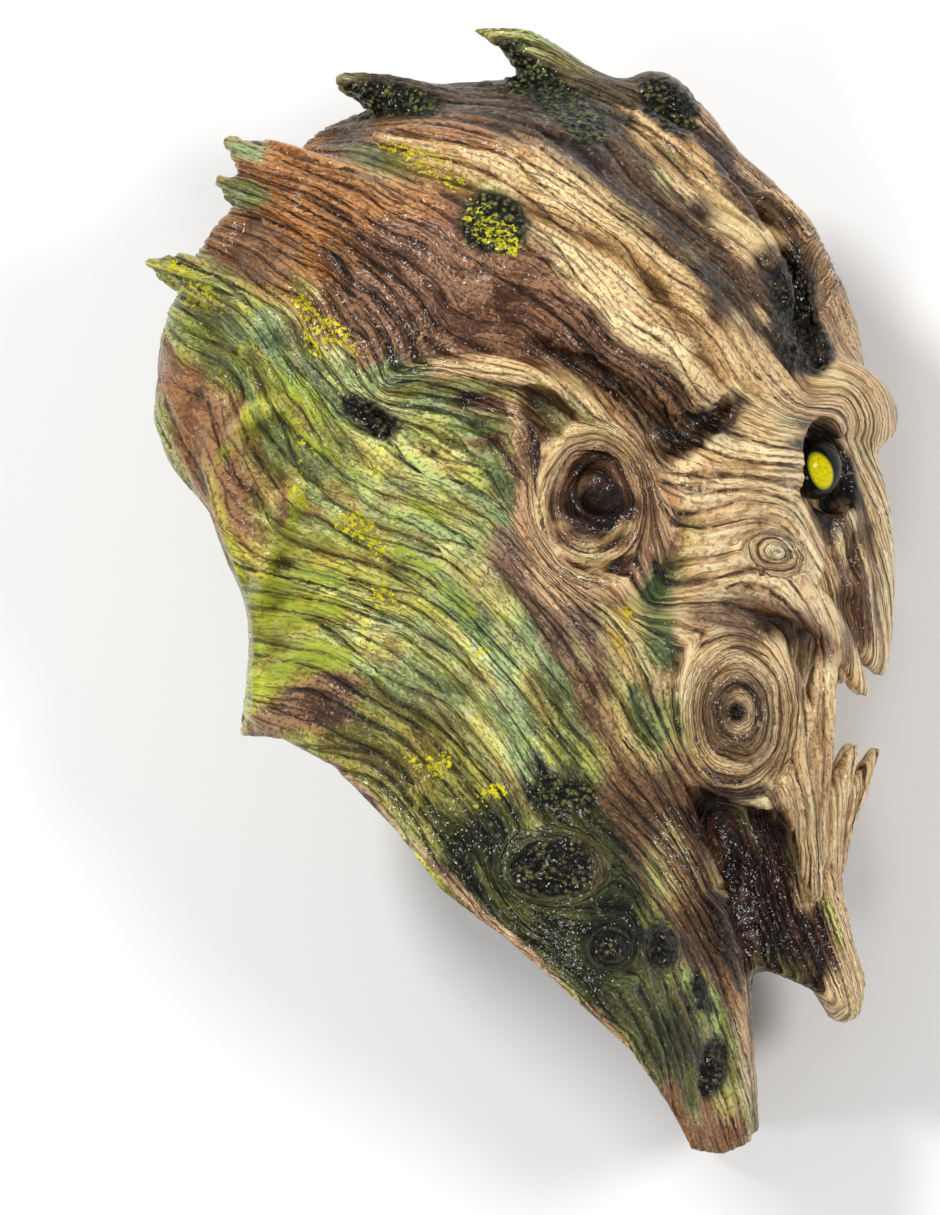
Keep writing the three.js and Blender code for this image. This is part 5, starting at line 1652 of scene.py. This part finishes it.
def bark_material():
    s = Shader("painted_bark")
    grain = s.attribute("grain")
    dark, middle, light = (s.attribute(key) for key in ("dark", "middle", "light"))
    patch, hollow, skin = s.parts(s.attribute("form"))
    crumb, green, yellow = s.parts(s.attribute("growth"))
    lime, width, cut = s.parts(s.attribute("marks"))
    place = s.node("TexCoord", out=3)
    black = srgb(SOOT)

    # creases between the cords, and finer ones between twigs
    cord, cord_number = s.crease(grain, CELLS["cord"])
    twig, twig_number = s.crease(grain, CELLS["twig"])
    thread = s.grained(grain, *THREAD)
    stipple = s.grained(grain, *STIPPLE)
    deep = s.ramp(s.math("DIVIDE", cord, width), 0.1, 1.0)
    fine = s.ramp(s.math("DIVIDE", twig, width), 0.0, 0.6)
    shown = s.ramp(patch, 0.42, 0.58)
    pebble = s.less(1.0, s.cells(place, PEBBLES)[0])

    # the relief that is too fine for the mesh, and the varnish over it, whose small facets glint
    relief = s.times(s.ramp(cord, 0.0, 0.9), 0.9)
    relief = s.scaled(s.ramp(twig, 0.0, 0.5), s.scaled(shown, 0.35, 0.3), relief)
    relief = s.scaled(thread, 0.55, relief)
    relief = s.scaled(s.ramp(stipple, 0.62, 0.54), 0.3, relief)
    relief = s.times(relief, s.scaled(cut, 0.6, 0.3))
    bumped = s.node("Mix", out=None, data_type="FLOAT")
    for socket, value in zip((0, 2, 3), (crumb, relief, s.times(pebble, 2.2))):
        s.feed(bumped.inputs[socket], value)
    facets = s.noise(place, FACETS, 1.0)
    glaze = s.scaled(crumb, s.less(pebble, facets), facets)

    # tone: light paint on the ridges, broken by stipple and threads, and dark wash in the creases
    tone = 0.60
    for value, gain in ((thread, 1.1), (patch, 1.0), (cord_number, 0.25), (twig_number, 0.45)):
        tone = s.scaled(s.less(value, 0.5), gain, tone)
    # darker in the hollows: dark wash and painted shade
    tone = s.scaled(hollow, -0.11, tone)
    tone = s.scaled(s.ramp(cord, 0.3, 1.8), 0.16, tone)
    tone = s.math("SUBTRACT", tone, 0.06, clamp=True)
    colour = s.mix(s.ramp(tone, 0.0, 0.5), dark, middle)
    colour = s.mix(s.ramp(tone, 0.45, 0.85), colour, light)
    dots = s.ramp(s.scaled(tone, -0.10, stipple), 0.47, 0.53)
    colour = s.mix(s.times(dots, 0.7), colour, s.mix(0.4, dark, middle))

    # washes over single twigs, thin dark hairs between them, pale flecks as painted glints, and the creases
    streak = s.grained(grain, *STREAK)
    stray = s.math("MAXIMUM", s.ramp(streak, 0.51, 0.57), s.times(s.ramp(twig_number, 0.6, 0.66), 0.6))
    colour = s.mix(s.times(stray, 0.85), colour, s.attribute("wash"), "MULTIPLY")
    rough = s.ramp(cut, 0.05, 0.5)
    hairs = s.times(s.less(1.0, fine), s.scaled(shown, 0.45, 0.3))
    colour = s.mix(s.times(hairs, rough), colour, dark)
    # pale flecks of paint on the lighter parts, standing in for the varnish's glints: painted highlights
    painted_glint = s.times(s.ramp(s.grained(grain, *GLINT_GRAIN), 0.58, 0.64), s.ramp(tone, 0.25, 0.5))
    painted_glint = s.times(s.times(painted_glint, rough), 0.6)
    colour = s.mix(painted_glint, colour, s.mix(0.3, light, srgb(GLINT_WHITE)))
    # darker still deep in the hollows: dark wash and painted shade
    colour = s.mix(s.times(s.ramp(hollow, 0.9, 2.8), 0.6), colour, s.mix(0.4, dark, black))
    broken = s.scaled(s.ramp(streak, 0.58, 0.44), 0.7, 0.3)
    crease = s.times(s.times(s.less(1.0, deep), rough), broken)
    colour = s.mix(crease, colour, s.mix(0.45, dark, black))

    # growth: granules in black and moss green, yellow flecks and lime brush marks
    clump = s.noise(place, CLUMPS, 2.0)
    moss = s.mix(s.ramp(clump, 0.35, 0.7), *map(srgb, MOSS))
    scab = s.mix(s.ramp(clump, 0.4, 0.7), *map(srgb, SCAB))
    grown = s.mix(s.ramp(pebble, 0.40, 0.75), srgb(GRANULE_GAP), s.mix(green, scab, moss))
    colour = s.mix(crumb, colour, grown)
    lime_share = s.times(s.times(lime, s.ramp(thread, 0.38, 0.6)), deep)
    colour = s.mix(lime_share, colour, srgb(LIME))
    fleck = s.scaled(yellow, 0.22, s.noise(place, FLECKS, 3.0, 0.7))
    yellow_share = s.times(s.ramp(fleck, 0.70, 0.78), s.ramp(yellow, 0.0, 0.3))
    colour = s.mix(yellow_share, colour, s.mix(s.ramp(clump, 0.35, 0.65), *map(srgb, YELLOW)))
    return s.finish({
        "Base Color": s.mix(skin, srgb(LINING), colour),
        "Roughness": s.scaled(stipple, 0.5, 0.12),
        "Specular IOR Level": 0.12,
        "Coat Weight": 0.36,
        "Coat Roughness": 0.05,
        "Normal": s.bump(bumped.outputs[0], RELIEF_BUMP),
        "Coat Normal": s.bump(glaze, FACET_BUMP),
    })


# Eyes: black glossy balls, each with a yellow iris that leans a little forward
IRIS_TOWARD = Vector((0.29, -0.16, 0.945)).normalized()
IRIS_HALF_WIDTH = 5.2
IRIS_HALF_HEIGHT = 8.4
IRIS_TILT = math.radians(25)
IRIS = ((206, 190, 8), (240, 224, 24))
IRIS_RIM = (120, 128, 10)
BALL_BLACK = (5, 4, 4)

# The ball's mesh, and by how many millimetres it lies inside its solid
BALL_SEGMENTS = 96
BALL_RINGS = 64
BALL_INSIDE = 0.01


def add_eye(name, half):
    form = bmesh.new()
    radius = EYE["radius"] - BALL_INSIDE
    bmesh.ops.create_uvsphere(form, u_segments=BALL_SEGMENTS, v_segments=BALL_RINGS, radius=radius)
    turn = Matrix.Rotation(math.radians(90 - EYE["turn"]), 3, "Y")
    aside = Vector((1, 0, 0)) - IRIS_TOWARD * IRIS_TOWARD.x
    aside.normalize()
    upright = IRIS_TOWARD.cross(aside)
    looks = []
    for vertex in form.verts:
        vertex.co.z *= EYE["squash"]
        vertex.co = turn @ vertex.co
        x, y = vertex.co.dot(aside), vertex.co.dot(upright)
        wide = x * math.cos(IRIS_TILT) + y * math.sin(IRIS_TILT)
        tall = y * math.cos(IRIS_TILT) - x * math.sin(IRIS_TILT)
        front = 1 if vertex.co.dot(IRIS_TOWARD) > 0 else 0
        looks.append((wide / IRIS_HALF_WIDTH, tall / IRIS_HALF_HEIGHT, front))
        vertex.co += Vector(EYE["centre"])
        vertex.co.z *= half
        vertex.co = Vector(to_row(vertex.co))
    bmesh.ops.recalc_face_normals(form, faces=form.faces)
    mesh = bpy.data.meshes.new(name)
    form.to_mesh(mesh)
    form.free()
    put_vector(mesh, "look", np.array(looks))
    mesh.shade_smooth()
    return add_object(name, mesh)


def eye_material():
    s = Shader("eye_resin")
    look = s.attribute("look")
    x, y, front = s.parts(look)
    reach = s.math("SQRT", s.math("ADD", s.times(x, x), s.times(y, y)))
    iris = s.mix(s.ramp(s.noise(look, 6.0, 3.0), 0.35, 0.7), *map(srgb, IRIS))
    iris = s.mix(s.ramp(reach, 0.72, 0.95), iris, srgb(IRIS_RIM))
    inside = s.times(s.ramp(reach, 1.0, 0.93), front)
    return s.finish({
        "Base Color": s.mix(inside, srgb(BALL_BLACK), iris),
        "Roughness": 0.1,
        "Specular IOR Level": 0.05,
        "Coat Weight": 0.2,
        "Coat Roughness": 0.03,
    })


def finish_piece(thing, material, node):
    thing.data.materials.clear()
    thing.data.materials.append(material)
    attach(thing, "root")
    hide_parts(node)


FORMS = [
    *crown_forms(), *temple_forms(), *reliefs()[:1], *face_forms(), *reliefs()[1:], *ear_forms(),
    *jaw_forms(), *bib_forms(), *carved_forms(),
]

add_camera()
finish_piece(build_skin(), bark_material(), "mask_shell")
resin = eye_material()
for key, half in (("eye_right", 1), ("eye_left", -1)):
    finish_piece(add_eye(key + "_ball", half), resin, key)


# Floor: half its side, in metres, and its tone
FLOOR_HALF = 6
FLOOR_TONE = 0.96

# Lamps: name, direction, size in metres and power in watts, all at one reach from the mask
LAMPS = [
    ("key", (-0.5, 0.75, 1.3), 0.55, 32),
    ("fill", (1.0, 0.1, 1.2), 0.6, 24),
    ("left", (-1.0, -0.3, 1.5), 0.5, 8),
    ("low", (0.2, -1.0, 1.3), 0.5, 7),
]
LAMP_REACH = 2.6
WORLD_STRENGTH = 0.36


def add_floor():
    corners = np.array([(-1, -1, 0), (1, -1, 0), (1, 1, 0), (-1, 1, 0)], float) * FLOOR_HALF
    floor = add_object("floor", to_mesh("floor", corners, np.array([[0, 1, 2, 3]])))
    material = Shader("pale_floor").finish({"Base Color": (FLOOR_TONE,) * 3, "Roughness": 0.8})
    floor.data.materials.append(material)


def add_light(name, toward, size, power):
    data = bpy.data.lights.new(name, "AREA")
    data.shape = "DISK"
    data.size = size
    data.energy = power
    lamp = bpy.data.objects.new(name, data)
    lamp.location = Vector(toward).normalized() * LAMP_REACH
    lamp.rotation_euler = Vector(toward).to_track_quat("Z", "Y").to_euler()
    bpy.context.scene.collection.objects.link(lamp)


def add_world():
    world = bpy.data.worlds.new("studio")
    world.use_nodes = True
    background = world.node_tree.nodes["Background"]
    background.inputs[0].default_value = (1, 1, 1, 1)
    background.inputs[1].default_value = WORLD_STRENGTH
    bpy.context.scene.world = world
    bpy.context.scene.view_settings.view_transform = "Standard"


add_floor()
for lamp in LAMPS:
    add_light(*lamp)
add_world()
